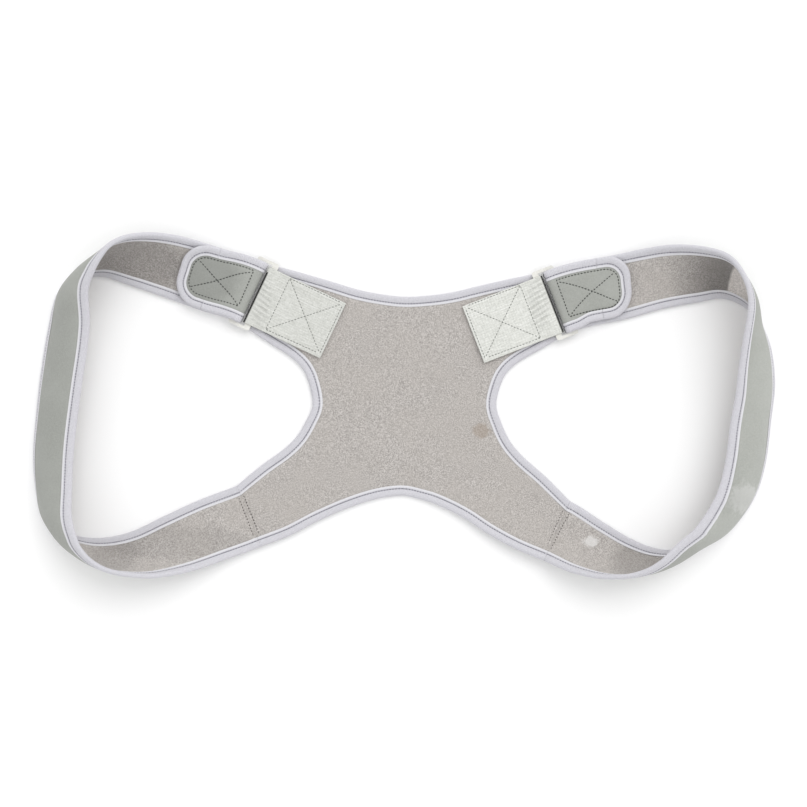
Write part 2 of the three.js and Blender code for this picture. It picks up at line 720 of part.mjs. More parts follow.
// The panel's four arms and its middle, as one laminate
function panelGeometry(arms) {
  const cells = [];
  const addCells = (grid, flip) => {
    for (let i = 0; i + 1 < grid.length; i++) {
      for (let j = 0; j + 1 < grid[i].length; j++) {
        const cell = [grid[i][j], grid[i + 1][j], grid[i + 1][j + 1], grid[i][j + 1]];
        cells.push(flip ? cell.reverse() : cell);
      }
    }
  };
  const flat = (x, y) => ({ point: new THREE.Vector3(x, y, TAPE_OUTSIDE), normal: UP.clone() });
  const corners = {
    neck: flat(0, NECK_Y - EDGE_INSET),
    waist: flat(0, WAIST_Y + EDGE_INSET),
    right: flat(PANEL_WAIST / 2 - EDGE_INSET, ARMHOLE_Y),
    left: flat(-PANEL_WAIST / 2 + EDGE_INSET, ARMHOLE_Y),
  };
  const count = arms.right.upperStations[0].laminate.length;
  const share = (i) => i / (count - 1);
  const between = (a, b, t) => flat(
    THREE.MathUtils.lerp(a.point.x, b.point.x, t),
    THREE.MathUtils.lerp(a.point.y, b.point.y, t),
  );
  const side = (a, b) => Array.from({ length: count }, (_, i) => between(a, b, share(i)));
  for (const [name, mirror] of [["right", false], ["left", true]]) {
    const probeOf = mirror ? mirroredProbe : (probe) => probe;
    for (const [key, end, flip] of [["upperStations", "neck", false], ["lowerStations", "waist", true]]) {
      const grid = arms[name][key].map((one) => one.laminate.map(probeOf));
      grid[0] = side(corners[name], corners[end]);
      addCells(grid, flip !== mirror);
    }
  }
  const middle = side(corners.left, corners.neck).map((from, i) =>
    side(corners.left, corners.neck).map((_, j) => {
      const low = between(corners.left, corners.waist, share(j));
      const high = between(corners.neck, corners.right, share(j));
      return between(low, high, share(i));
    }),
  );
  addCells(middle, true);
  return thickened(cells, false);
}

// The tape's guide at an edge's middle point, square to the edge
function middleGuide(x, y, inwardX, inwardY) {
  const edge = { point: new THREE.Vector3(x, y, TAPE_OUTSIDE), normal: UP.clone() };
  const point = new THREE.Vector3(x + inwardX * TAPE_WIDTH, y + inwardY * TAPE_WIDTH, TAPE_OUTSIDE);
  return [edge, { point, normal: UP.clone() }];
}

function ringGeometry() {
  const halfLength = SLOT_LENGTH / 2 + RING_BAR;
  const halfWidth = SLOT_WIDTH / 2 + RING_END;
  const corner = RING_CORNER;
  const outline = new THREE.Shape();
  outline.moveTo(-halfLength + corner, -halfWidth);
  outline.lineTo(halfLength - corner, -halfWidth);
  outline.absarc(halfLength - corner, -halfWidth + corner, corner, -Math.PI / 2, 0);
  outline.lineTo(halfLength, halfWidth - corner);
  outline.absarc(halfLength - corner, halfWidth - corner, corner, 0, Math.PI / 2);
  outline.lineTo(-halfLength + corner, halfWidth);
  outline.absarc(-halfLength + corner, halfWidth - corner, corner, Math.PI / 2, Math.PI);
  outline.lineTo(-halfLength, -halfWidth + corner);
  outline.absarc(-halfLength + corner, -halfWidth + corner, corner, Math.PI, Math.PI * 1.5);
  const slot = new THREE.Path();
  slot.moveTo(-SLOT_LENGTH / 2, -SLOT_WIDTH / 2);
  slot.lineTo(-SLOT_LENGTH / 2, SLOT_WIDTH / 2);
  slot.lineTo(SLOT_LENGTH / 2, SLOT_WIDTH / 2);
  slot.lineTo(SLOT_LENGTH / 2, -SLOT_WIDTH / 2);
  slot.closePath();
  outline.holes.push(slot);
  const settings = { depth: RING_THICKNESS, bevelEnabled: false, curveSegments: RING_CURVE_STEPS };
  return new THREE.ExtrudeGeometry(outline, settings).translate(0, 0, RING_Z - RING_THICKNESS / 2);
}

// The webbing's side view, measured from the ring's centre: round the inner bar, then two plies sewn as one
function webbingGeometry() {
  const barStart = SLOT_LENGTH / 2;
  const barEnd = barStart + RING_BAR;
  const inside = RING_THICKNESS / 2 + GAP;
  const overTape = 2 * TAPE_OUTSIDE + GAP;
  const onPanel = TAPE_OUTSIDE + HALF_LAMINATE + GAP;
  const ply = 2 * WEBBING_THICKNESS;
  const end = barStart - WEBBING_FOLD_RADIUS + WEBBING_LENGTH;
  const levelEnd = barEnd + WEBBING_LEVEL;
  const outline = new THREE.Shape();
  outline.absarc(barStart, RING_Z, WEBBING_FOLD_RADIUS, Math.PI / 2, Math.PI * 1.5);
  outline.lineTo(barStart + WEBBING_BEND, RING_Z - WEBBING_FOLD_RADIUS);
  outline.lineTo(barEnd - WEBBING_DIP, overTape);
  outline.lineTo(levelEnd, overTape);
  outline.lineTo(end - WEBBING_TAPER, onPanel);
  outline.lineTo(end, onPanel);
  outline.lineTo(end, onPanel + ply);
  outline.lineTo(end - WEBBING_TAPER, onPanel + ply);
  outline.lineTo(levelEnd, overTape + ply);
  outline.lineTo(barEnd + WEBBING_CLOSE, overTape + ply);
  outline.lineTo(barEnd + WEBBING_BEND, RING_Z + WEBBING_FOLD_RADIUS);
  outline.closePath();
  const hole = new THREE.Path();
  hole.absarc(barStart, RING_Z, inside, Math.PI / 2, Math.PI * 1.5);
  hole.lineTo(barEnd + GAP, RING_Z - inside);
  hole.lineTo(barEnd + PLY_MEET, overTape + WEBBING_THICKNESS);
  hole.lineTo(barEnd + GAP, RING_Z + inside);
  hole.closePath();
  outline.holes.push(hole);
  const settings = { depth: WEBBING_WIDTH, bevelEnabled: false, curveSegments: WEBBING_CURVE_STEPS };
  const geometry = new THREE.ExtrudeGeometry(outline, settings);
  return geometry.rotateX(Math.PI / 2).translate(0, WEBBING_WIDTH / 2, 0);
}

const MATERIALS = {
  laminate: new THREE.MeshStandardMaterial({ color: 0xb9b5b0, roughness: 0.95, metalness: 0 }),
  tape: new THREE.MeshStandardMaterial({ color: 0xc0bfc4, roughness: 0.85, metalness: 0 }),
  webbing: new THREE.MeshStandardMaterial({ color: 0xd5d5d0, roughness: 0.7, metalness: 0 }),
  ring: new THREE.MeshStandardMaterial({ color: 0xefece2, roughness: 0.4, metalness: 0 }),
  hook: new THREE.MeshStandardMaterial({ color: 0x8f8f8c, roughness: 0.9, metalness: 0 }),
};

const corrector = new THREE.Group();

function add(name, geometry, material) {
  const mesh = new THREE.Mesh(geometry, material);
  mesh.name = name;
  corrector.add(mesh);
  return mesh;
}

const arms = {};
for (const name of ["left", "right"]) {
  const surfaces = armSurfaces(name);
  const seam = station(strapSurface(name).at, 0, 0, STRAP_WIDTH, 0, 1);
  arms[name] = {
    upperStations: armStations(surfaces.upper),
    lowerStations: [...armStations(surfaces.lower).slice(0, -1), seam],
  };
}
add("back_panel", panelGeometry(arms), MATERIALS.laminate);

// Guides of one arm's edge from its outer end to the middle, on the side of the drawing that it belongs to
function guidesOf(name, key, edge) {
  const guides = arms[name][key].slice(1).reverse().map((one) => one[edge]);
  return name === "left" ? guides.map((guide) => guide.map(mirroredProbe)) : guides;
}

function edgeAround(first, middle, second) {
  return [...guidesOf(...first), middle, ...guidesOf(...second).reverse()];
}

const neckTape = edgeAround(
  ["right", "upperStations", "highTape"],
  middleGuide(0, NECK_Y, 0, -1),
  ["left", "upperStations", "highTape"],
);
const waistTape = edgeAround(
  ["left", "lowerStations", "highTape"],
  middleGuide(0, WAIST_Y, 0, 1),
  ["right", "lowerStations", "highTape"],
);
const leftTape = edgeAround(
  ["left", "upperStations", "lowTape"],
  middleGuide(-PANEL_WAIST / 2, ARMHOLE_Y, 1, 0),
  ["left", "lowerStations", "lowTape"],
);
const rightTape = edgeAround(
  ["right", "lowerStations", "lowTape"],
  middleGuide(PANEL_WAIST / 2, ARMHOLE_Y, -1, 0),
  ["right", "upperStations", "lowTape"],
);
add("panel_top_binding", tapeLoft(neckTape, true, false), MATERIALS.tape);
add("panel_bottom_binding", tapeLoft(waistTape, true, false), MATERIALS.tape);
add("panel_left_binding", tapeLoft(leftTape, false, false), MATERIALS.tape);
add("panel_right_binding", tapeLoft(rightTape, false, false), MATERIALS.tape);

for (const name of ["left", "right"]) {
  const parts = strapStations(name);
  add(`strap_${name}`, strapGeometry(parts), MATERIALS.laminate);
  add(`strap_${name}_inner_binding`, strapTape(parts, "lowTape"), MATERIALS.tape);
  add(`strap_${name}_outer_binding`, strapTape(parts, "highTape"), MATERIALS.tape);
  add(`tab_${name}_binding`, tabTipTape(parts), MATERIALS.tape);
  add(`hook_patch_${name}`, hookGeometry(parts), MATERIALS.hook);

  const side = SIDES[name];
  const holder = new THREE.Group();
  holder.position.set(side.sign * side.ringX, side.ringY, 0);
  holder.rotation.z = side.sign < 0 ? -degrees(side.ringTilt) : Math.PI + degrees(side.ringTilt);
  corrector.add(holder);
  holder.add(add(`ring_${name}`, ringGeometry(), MATERIALS.ring));
  holder.add(add(`webbing_${name}`, webbingGeometry(), MATERIALS.webbing));
}

// The middle of the part's outline goes to the origin
const bounds = new THREE.Box3().setFromObject(corrector);
const centre = bounds.getCenter(new THREE.Vector3());
corrector.position.set(-centre.x, -centre.y, -bounds.min.z);

export default corrector;
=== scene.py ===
"""Looks of a posture corrector that lies flat with its lining up. Shapes are reckoned in millimetres and in
right-hand form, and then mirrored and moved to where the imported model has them."""

import math

import bpy
import numpy as np
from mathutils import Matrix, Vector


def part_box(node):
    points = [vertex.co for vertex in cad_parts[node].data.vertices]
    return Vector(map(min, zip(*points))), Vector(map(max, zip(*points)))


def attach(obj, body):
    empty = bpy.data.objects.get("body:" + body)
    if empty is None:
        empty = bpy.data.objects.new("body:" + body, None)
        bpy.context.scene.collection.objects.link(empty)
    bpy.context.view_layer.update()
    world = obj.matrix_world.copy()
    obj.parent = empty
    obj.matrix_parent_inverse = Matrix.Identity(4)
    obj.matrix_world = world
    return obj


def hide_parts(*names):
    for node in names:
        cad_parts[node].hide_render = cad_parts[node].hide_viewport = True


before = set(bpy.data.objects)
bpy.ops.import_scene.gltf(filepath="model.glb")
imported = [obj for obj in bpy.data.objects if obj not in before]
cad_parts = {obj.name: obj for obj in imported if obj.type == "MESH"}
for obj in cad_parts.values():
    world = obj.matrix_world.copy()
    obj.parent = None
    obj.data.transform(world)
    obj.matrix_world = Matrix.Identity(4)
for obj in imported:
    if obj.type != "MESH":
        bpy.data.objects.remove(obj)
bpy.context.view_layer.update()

# Sizes of the model, in millimetres
HALF_LAMINATE = 1.2
TAPE_WIDTH = 8.5
TAPE_OUTSIDE = 2.1
EDGE_INSET = 0.9
STRAP_WIDTH = 54
TAB_LENGTH = 60
TAB_CORNER = 21
TAB_SETTLE = 24
TAB_OFFSET = 5.1
LOOP_ROOT_X = 137
LOOP_REACH = 169
LOOP_HALF_DEPTH = 110
RING_BAR = 5
RING_THICKNESS = 2
STRAP_FOLD_RADIUS = 3.4
WEBBING_FOLD_RADIUS = 2.5
SLOT_LENGTH = 8.8
RING_Z = 6.3
STRAP_LIFT_AT_RING = 0.8
WEBBING_WIDTH = 50
WEBBING_LENGTH = 70
PANEL_WAIST = 151.5
NECK_Y = 88.3
WAIST_Y = -75.6
ARMHOLE_Y = -1
ARM_WIDTH = 57.5
ARM_SETBACK = 8.7

SIDES = {
    "left": dict(sign=-1, ring=(123.6, 90.8), ring_tilt=25.3,
                 seam=(138, -67.4), seam_tilt=22.3, seam_lip=6, tab_inset=0.6),
    "right": dict(sign=1, ring=(123.7, 83), ring_tilt=21.3,
                  seam=(136.4, -80.1), seam_tilt=25, seam_lip=20, tab_inset=3),
}

# Loop sections from the seam to the ring: out, up, root angle, lip angle, lean
LOOP_ROWS = {
    "left": [
        (0.19, -0.72, 0, 16, 0), (0.36, -0.84, 0, 44, 0), (0.51, -0.95, 8, 78, -0.12),
        (0.64, -1.0, 20, 94, -0.25), (0.755, -1.0, 40, 107, -0.36), (0.862, -0.955, 68, 138, -0.4),
        (0.945, -0.815, 84, 165, -0.33), (0.978, -0.61, 95, 178, -0.12), (0.988, -0.36, 100, 181, 0.02),
        (0.973, -0.04, 106, 176, 0.08), (0.949, 0.28, 109, 175, 0.1), (0.915, 0.58, 110, 170, 0.22),
        (0.87, 0.82, 92, 154, 0.32), (0.775, 0.935, 66, 130, 0.46), (0.66, 0.955, 36, 92, 0.24),
        (0.53, 0.89, 14, 66, 0), (0.36, 0.8, 0, 32, -0.06), (0.17, 0.695, 0, 8, 0),
    ],
    "right": [
        (0.16, -0.885, 0, 46, -0.07), (0.29, -1.005, 4, 80, -0.22), (0.41, -1.08, 24, 100, -0.38),
        (0.52, -1.095, 52, 116, -0.46), (0.63, -1.045, 74, 138, -0.44), (0.74, -0.97, 84, 156, -0.42),
        (0.83, -0.83, 92, 168, -0.36), (0.9, -0.65, 97, 176, -0.25), (0.943, -0.42, 98, 182, -0.16),
        (0.968, -0.12, 102, 177, -0.15), (0.988, 0.14, 110, 166, -0.09), (0.973, 0.39, 110, 154, -0.03),
        (0.925, 0.58, 94, 140, 0.1), (0.86, 0.72, 58, 124, 0.26), (0.745, 0.79, 30, 86, 0.1),
        (0.62, 0.76, 8, 64, -0.14), (0.46, 0.715, 0, 36, -0.2), (0.27, 0.635, 0, 8, -0.14),
    ],
}

# Panel edges between a middle point and a corner: along and bow, as shares of the straight line
EDGE_ROWS = {
    "neck": [(0.17, -0.022), (0.36, -0.03), (0.56, -0.018), (0.8, -0.006)],
    "armhole_upper": [(0.2, -0.12), (0.34, -0.16), (0.5, -0.15), (0.78, -0.065)],
    "armhole_lower": [(0.14, -0.055), (0.3, -0.09), (0.46, -0.085), (0.72, -0.035)],
    "waist_left": [(0.1, -0.029), (0.22, -0.045), (0.4, -0.047), (0.6, -0.032), (0.8, -0.005)],
    "waist_right": [(0.1, -0.022), (0.2, -0.036), (0.4, -0.033), (0.6, -0.004), (0.8, 0.008)],
}

# How far along a loop, as a share of it, the sections' angles and the strap's heading are evened out, where
# that fades near the ends, the steps and weights that do it, and at how many places it is worked out
SECTION_SPREAD = 0.045
HEADING_SPREAD = 0.085
SPREAD_FROM_END = 0.12
SPREAD_STEPS = ((-1, 0.12), (-0.5, 0.23), (0, 0.3), (0.5, 0.23), (1, 0.12))
LOOP_TABLE = 2401

# The look of the cloth, in millimetres: half thicknesses, how far the laminate ends inside its tape, and the
# level at which the materials' noise is cut
PAD_UNDER_TAPE = 0.95
PAD_FULL = 1.4
CUT_INSET = 1.3
GRAIN_LEVEL = 0.37

# Stitches on the tape, and where the two rows beside a seam run
STITCH_PITCH = 2.3
STITCH_LENGTH = 1.45
STITCH_RADIUS = 0.31
STITCH_LIFT = 1.33
TAPE_STITCH_AT = 5.8
SEAM_ROW = 2.3

# Other details: steps between sections, the hook patch's distance from the tape and its corners, and half the
# webbing's thickness
LAMINATE_STEP = 2.0
TAPE_STEP = 0.8
HOOK_INSET = 4
HOOK_CORNER = 2.5
WEBBING_HALF = 0.52


def ring_shift():
    """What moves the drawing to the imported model, read from where a ring lies in both."""
    low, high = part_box("ring_right")
    centre = (np.array(low) + np.array(high)) / 2 * 1000
    return centre - np.array([*SIDES["right"]["ring"], RING_Z])


SHIFT = ring_shift()


def unit(v):
    return v / np.maximum(np.linalg.norm(v, axis=-1, keepdims=True), 1e-12)


def running_length(points):
    """The length of the line up to each of its points."""
    return np.concatenate([[0], np.cumsum(np.linalg.norm(np.diff(points, axis=0), axis=1))])


def turned(angle):
    return np.array([math.cos(angle), math.sin(angle), 0.0])


def ramp(x):
    t = np.clip(x, 0, 1)
    return t * t * (3 - 2 * t)


def rest_height(root):
    flat = np.abs(np.cos(root))
    return np.maximum(HALF_LAMINATE * flat, TAPE_OUTSIDE * flat - EDGE_INSET * np.sin(root))


def curl(length, root, lip, width):
    """Reach along the table and rise above it, of a section that curls from root to lip."""
    turn = lip - root
    turn = np.where(np.abs(turn) < 1e-4, 1e-4, turn)
    radius = width / turn
    angle = root + length / radius
    return radius * (np.sin(angle) - np.sin(root)), radius * (np.cos(root) - np.cos(angle))


def spline(rows, u):
    """Catmull-Rom value and slope of all columns at u, from 0 to 1 between the guide rows."""
    spans = len(rows) - 3
    place = np.clip(u, 0, 1) * spans
    i = np.minimum(place.astype(int), spans - 1)
    t = (place - i)[..., None]
    a, b, c, d = (rows[i + k] for k in range(4))
    k1 = (c - a) / 2
    k2 = a - 2.5 * b + 2 * c - d / 2
    k3 = 1.5 * (b - c) + (d - a) / 2
    return b + t * (k1 + t * (k2 + t * k3)), k1 + t * (2 * k2 + 3 * t * k3)


def ring_frame(side):
    tilt = math.radians(side["ring_tilt"])
    return np.array([*side["ring"], 0.0]), turned(math.pi + tilt), turned(math.pi / 2 + tilt)


def loop_rows(name):
    """Rows of x, y, root, lip, lean and lift, with the seam and ring rows and a guide beyond each."""
    side = SIDES[name]
    centre, inward, across = ring_frame(side)
    rows = [
        [LOOP_ROOT_X + out * LOOP_REACH, up * LOOP_HALF_DEPTH, math.radians(root), math.radians(lip),
         lean * STRAP_WIDTH, 0]
        for out, up, root, lip, lean in LOOP_ROWS[name]
    ]
    seam = [*side["seam"], 0, math.radians(side["seam_lip"]), 0, 0]
    start = centre - inward * SLOT_LENGTH / 2 - across * STRAP_WIDTH / 2
    end = [start[0], start[1], 0, 0, 0, STRAP_LIFT_AT_RING]
    rows = [seam, *rows, end]

    def guide(origin, beside, heading):
        span = 2 * math.hypot(beside[0] - origin[0], beside[1] - origin[1])
        return [beside[0] + heading[0] * span, beside[1] + heading[1] * span, *beside[2:]]

    before = guide(seam, rows[1], turned(math.pi - math.radians(side["seam_tilt"])))
    after = guide(end, rows[-2], inward)
    return np.array([before, *rows, after], float)


def strap_surface(name):
    rows = loop_rows(name)
    us = np.linspace(0, 1, LOOP_TABLE)
    fade = ramp(np.minimum(us, 1 - us) / SPREAD_FROM_END)

    def evened(spread, value):
        return sum(weight * value(us + step * spread * fade) for step, weight in SPREAD_STEPS)

    shapes = evened(SECTION_SPREAD, lambda u: spline(rows, u)[0][:, 2:5])
    headings = unit(evened(HEADING_SPREAD, lambda u: unit(spline(rows, u)[1][:, :2])))

    def at(u, length):
        u, length = np.broadcast_arrays(np.asarray(u, float), np.asarray(length, float))
        x, y, _, _, _, lift = np.moveaxis(spline(rows, u)[0], -1, 0)
        root, lip, lean = (np.interp(u, us, shapes[:, k]) for k in range(3))
        heading = unit(np.stack([np.interp(u, us, headings[:, k]) for k in range(2)], axis=-1))
        root = np.maximum(root, 0)
        share = length / STRAP_WIDTH
        upright = np.sqrt(STRAP_WIDTH**2 - lean**2)
        reach, rise = curl(share * upright, root, lip, upright)
        lean_by = lean * share**2
        x = x + heading[..., 1] * reach + heading[..., 0] * lean_by
        y = y - heading[..., 0] * reach + heading[..., 1] * lean_by
        return np.stack([x, y, rest_height(root) + lift + rise], axis=-1)

    return at


def slopes(at, u, v):
    """Unit directions along and across a surface, and its lining-side normal."""
    du = at(np.minimum(u + 1e-3, 1), v) - at(np.maximum(u - 1e-3, 0), v)
    dv = at(u, v + 0.05) - at(u, v - 0.05)
    along, across = unit(du), unit(dv)
    return along, across, unit(np.cross(across, along))


class Strap:
    """One strap with its fold and tab. A place on it is (kind, value): loop u, fold angle or tab distance."""

    def __init__(self, name):
        self.name = name
        self.side = SIDES[name]
        self.sign = self.side["sign"]
        self.at = strap_surface(name)
        us = np.linspace(1, 0.7, 601)
        self.back_u, self.back_s = us, running_length(self.at(us, STRAP_WIDTH / 2))
        self.centre, self.inward, self.across = ring_frame(self.side)

    def where_back(self, distance):
        return np.interp(distance, self.back_s, self.back_u)

    def tab_edges(self, distance):
        over_bar = RING_BAR + RING_THICKNESS / 2
        settled = float(ramp((distance - over_bar) / (TAB_SETTLE - over_bar)))
        past = max(distance - (TAB_LENGTH - TAB_CORNER), 0)
        cut = TAB_CORNER - math.sqrt(max(TAB_CORNER**2 - past**2, 0))
        height = 2 * STRAP_FOLD_RADIUS + (TAB_OFFSET - 2 * STRAP_FOLD_RADIUS) * settled
        return height, self.side["tab_inset"] * settled + cut, STRAP_WIDTH - cut

    def probe(self, place, v):
        """Points and lining-side normals at lengths v across the strap."""
        kind, value = place
        v = np.asarray(v, float)
        if kind == "fold":
            radial = self.inward * math.cos(value) + np.array([0, 0, 1]) * math.sin(value)
            middle = self.centre - self.inward * SLOT_LENGTH / 2 + np.array([0, 0, RING_Z])
            middle = middle + radial * STRAP_FOLD_RADIUS
            return middle + np.outer(v - STRAP_WIDTH / 2, self.across), np.tile(-radial, (len(v), 1))
        u = value if kind == "loop" else self.where_back(value)
        us = np.full(v.shape, float(u))
        normal = slopes(self.at, us, v)[2]
        if kind == "loop":
            return self.at(us, v), normal
        height = self.tab_edges(value)[0]
        return self.at(us, v) + normal * height, -normal

    def skew(self, place, v):
        if place[0] == "fold":
            return 1.0
        u = place[1] if place[0] == "loop" else self.where_back(place[1])
        along, across, _ = slopes(self.at, np.array([float(u)]), np.array([float(v)]))
        return max(float(np.linalg.norm(np.cross(along, across))), 0.4)

    def edges(self, place):
        return self.tab_edges(place[1])[1:] if place[0] == "tab" else (0.0, STRAP_WIDTH)

    def loop_marks(self, spacing):
        """Loop places about spacing apart along the strap's middle, with the running length at each."""
        us = np.linspace(0, 1, 1201)
        run = running_length(self.at(us, STRAP_WIDTH / 2))
        marks = np.linspace(0, run[-1], round(run[-1] / spacing) + 1)
        return [(("loop", float(np.interp(s, run, us))), s) for s in marks]

    def places(self, spacing, tab_end):
        """All places from the seam to a distance along the tab, with the running length at each."""
        found = self.loop_marks(spacing)[:-1]
        run = self.loop_marks(spacing)[-1][1]
        turn = math.pi * STRAP_FOLD_RADIUS
        steps = max(round(turn / spacing * 2), 14)
        for i in range(steps + 1):
            found.append((("fold", -math.pi / 2 + math.pi * i / steps), run + turn * i / steps))
        run += turn
        steps = round(tab_end / spacing)
        for i in range(1, steps + 1):
            distance = tab_end * i / steps
            found.append((("tab", distance), run + distance))
        return found


# Meshes


def placed(points, sign):
    """Millimetres of the right-hand drawing to metres of the model."""
    out = np.array(points, float).reshape(-1, 3)
    out[:, 0] *= sign
    return (out + SHIFT) / 1000


def make_object(name, points, faces, cloth, materials, face_materials=None, smooth=True):
    """A mesh with the cloth attribute, which tells a material where it is on the cloth, in millimetres."""
    mesh = bpy.data.meshes.new(name)
    mesh.from_pydata(points.tolist(), [], faces)
    attribute = mesh.attributes.new("cloth", "FLOAT_VECTOR", "POINT")
    attribute.data.foreach_set("vector", np.asarray(cloth, np.float32).ravel())
    for material in materials:
        mesh.materials.append(material)
    if face_materials is not None:
        mesh.polygons.foreach_set("material_index", np.asarray(face_materials, np.int32))
    mesh.polygons.foreach_set("use_smooth", np.full(len(mesh.polygons), smooth))
    mesh.validate()
    mesh.update()
    obj = bpy.data.objects.new(name, mesh)
    bpy.context.scene.collection.objects.link(obj)
    volume = signed_volume(mesh)
    if volume < 0:
        mesh.flip_normals()
    return obj


def signed_volume(mesh):
    mesh.calc_loop_triangles()
    co = np.zeros(len(mesh.vertices) * 3)
    mesh.vertices.foreach_get("co", co)
    co = co.reshape(-1, 3)
    corners = np.zeros(len(mesh.loop_triangles) * 3, np.int32)
    mesh.loop_triangles.foreach_get("vertices", corners)
    a, b, c = (co[corners.reshape(-1, 3)[:, k]] for k in range(3))
    return float((a * np.cross(b, c)).sum())


def tube_faces(rings, count):
    """Quads between closed rings of points."""
    faces = []
    for s in range(rings - 1):
        for i in range(count):
            j = (i + 1) % count
            faces.append((s * count + i, s * count + j, (s + 1) * count + j, (s + 1) * count + i))
    return faces


def laminate_columns(low, high, skew_low, skew_high):
    """Places across a laminate, closer together beside the tapes, and each one's distance from an edge."""
    near = np.array([CUT_INSET, 3.5, 6.0, 7.0, 7.7, 8.3, 8.8, 9.3, 10.0, 11.0, 12.5])
    from_low, from_high = low + near / skew_low, high - near[::-1] / skew_high
    inner = np.linspace(from_low[-1], from_high[0], 20)[1:-1]
    v = np.concatenate([from_low, inner, from_high])
    distance = np.minimum((v - low) * skew_low, (high - v) * skew_high)
    return v, distance


def pad_half(distance):
    """Half thickness of the laminate: pressed flat under the tape and full beside it."""
    rise = ramp((distance - 7.9) / 2.6)
    return PAD_UNDER_TAPE + (PAD_FULL - PAD_UNDER_TAPE) * rise - 0.12 * ramp((distance - 11) / 9)


def seam_dip(distance):
    """How much thinner the cloth is at this distance from the seam between the panel and a strap."""
    at_seam = 0.35 * np.exp(-((distance / 1.1) ** 2))
    return at_seam + 0.2 * np.exp(-((distance - SEAM_ROW) ** 2))


def cloth_places(run, v, level=GRAIN_LEVEL):
    """The cloth attribute of one section: its running length, lengths v across it and the noise's level."""
    return np.stack([np.full(len(v), run), v, np.full(len(v), level)], axis=1)


def sheet_mesh(name, sections, sign, materials):
    """A laminate from sections of (points, normals, half thickness, cloth): lining up, outside down."""
    count = len(sections[0][0])
    points, cloth = [], []
    for p, n, half, marks in sections:
        upper, lower = p + n * half[:, None], p - n * half[:, None]
        points.append(np.concatenate([upper, lower[::-1]]))
        cloth.append(np.concatenate([marks, marks[::-1]]))
    faces = tube_faces(len(sections), 2 * count)
    per_ring = [0] * (count - 1) + [1] * (count + 1)
    kinds = per_ring * (len(sections) - 1)
    last = (len(sections) - 1) * 2 * count
    for i in range(count - 1):
        quad = (i, i + 1, 2 * count - 2 - i, 2 * count - 1 - i)
        faces.append(quad[::-1])
        faces.append(tuple(last + k for k in quad))
        kinds += [1, 1]
    points = placed(np.concatenate(points), sign)
    return make_object(name, points, faces, np.concatenate(cloth), materials, kinds)


# Outer skin of the folded tape: distance in from the edge, and height from the laminate's middle
TAPE_SKIN = [
    (8.5, 1.25), (8.35, 1.5), (7.9, 1.62), (7.0, 1.66), (6.4, 1.55), (6.0, 1.36), (5.6, 1.36), (5.2, 1.55),
    (4.5, 1.78), (3.4, 1.96), (2.3, 2.04), (1.3, 1.9), (0.6, 1.45), (0.15, 0.8), (0.0, 0.0),
]
TAPE_INNER = [(8.5, 1.05), (4.5, 1.05), (1.0, 1.05)]


def tape_profile():
    upper = np.array(TAPE_SKIN)
    lower = upper[:-1][::-1] * [1, -1]
    inner = np.array(TAPE_INNER)
    outline = np.concatenate([upper, lower, inner * [1, -1], inner[::-1]])
    return outline[:, 0], outline[:, 1], running_length(outline)


TAPE_D, TAPE_H, TAPE_ROUND = tape_profile()


def tape_section(probe, pucker):
    """Points of the tape's outline. probe gives points and normals at distances in from the edge."""
    p, n = probe(TAPE_D)
    dent = np.exp(-(((TAPE_D - TAPE_STITCH_AT) / 1.3) ** 2)) * pucker
    height = TAPE_H - np.sign(TAPE_H) * dent * (np.abs(TAPE_H) > 1.1)
    return p + n * height[:, None]


def tape_mesh(name, sections, runs, sign, material):
    """The folded tape through its sections. runs are their running lengths."""
    count = len(TAPE_D)
    faces = tube_faces(len(sections), count)
    last = (len(sections) - 1) * count
    faces.append(tuple(range(count))[::-1])
    faces.append(tuple(range(last, last + count)))
    cloth = np.concatenate([
        np.stack([np.full(count, run), TAPE_D, np.sign(TAPE_H) * 20 + TAPE_ROUND], axis=1) for run in runs
    ])
    return make_object(name, placed(np.concatenate(sections), sign), faces, cloth, [material])


def pucker_at(run):
    """How far the tape is drawn in between one stitch hole and the next."""
    return 0.16 * math.cos(2 * math.pi * run / STITCH_PITCH) ** 2


def blended(sections, target, reach):
    """Moves the last sections so that the last one is the target."""
    out = list(sections)
    step = target - out[-1]
    for k in range(min(reach, len(out))):
        out[-1 - k] = out[-1 - k] + step * float(ramp(1 - k / reach))
    return out


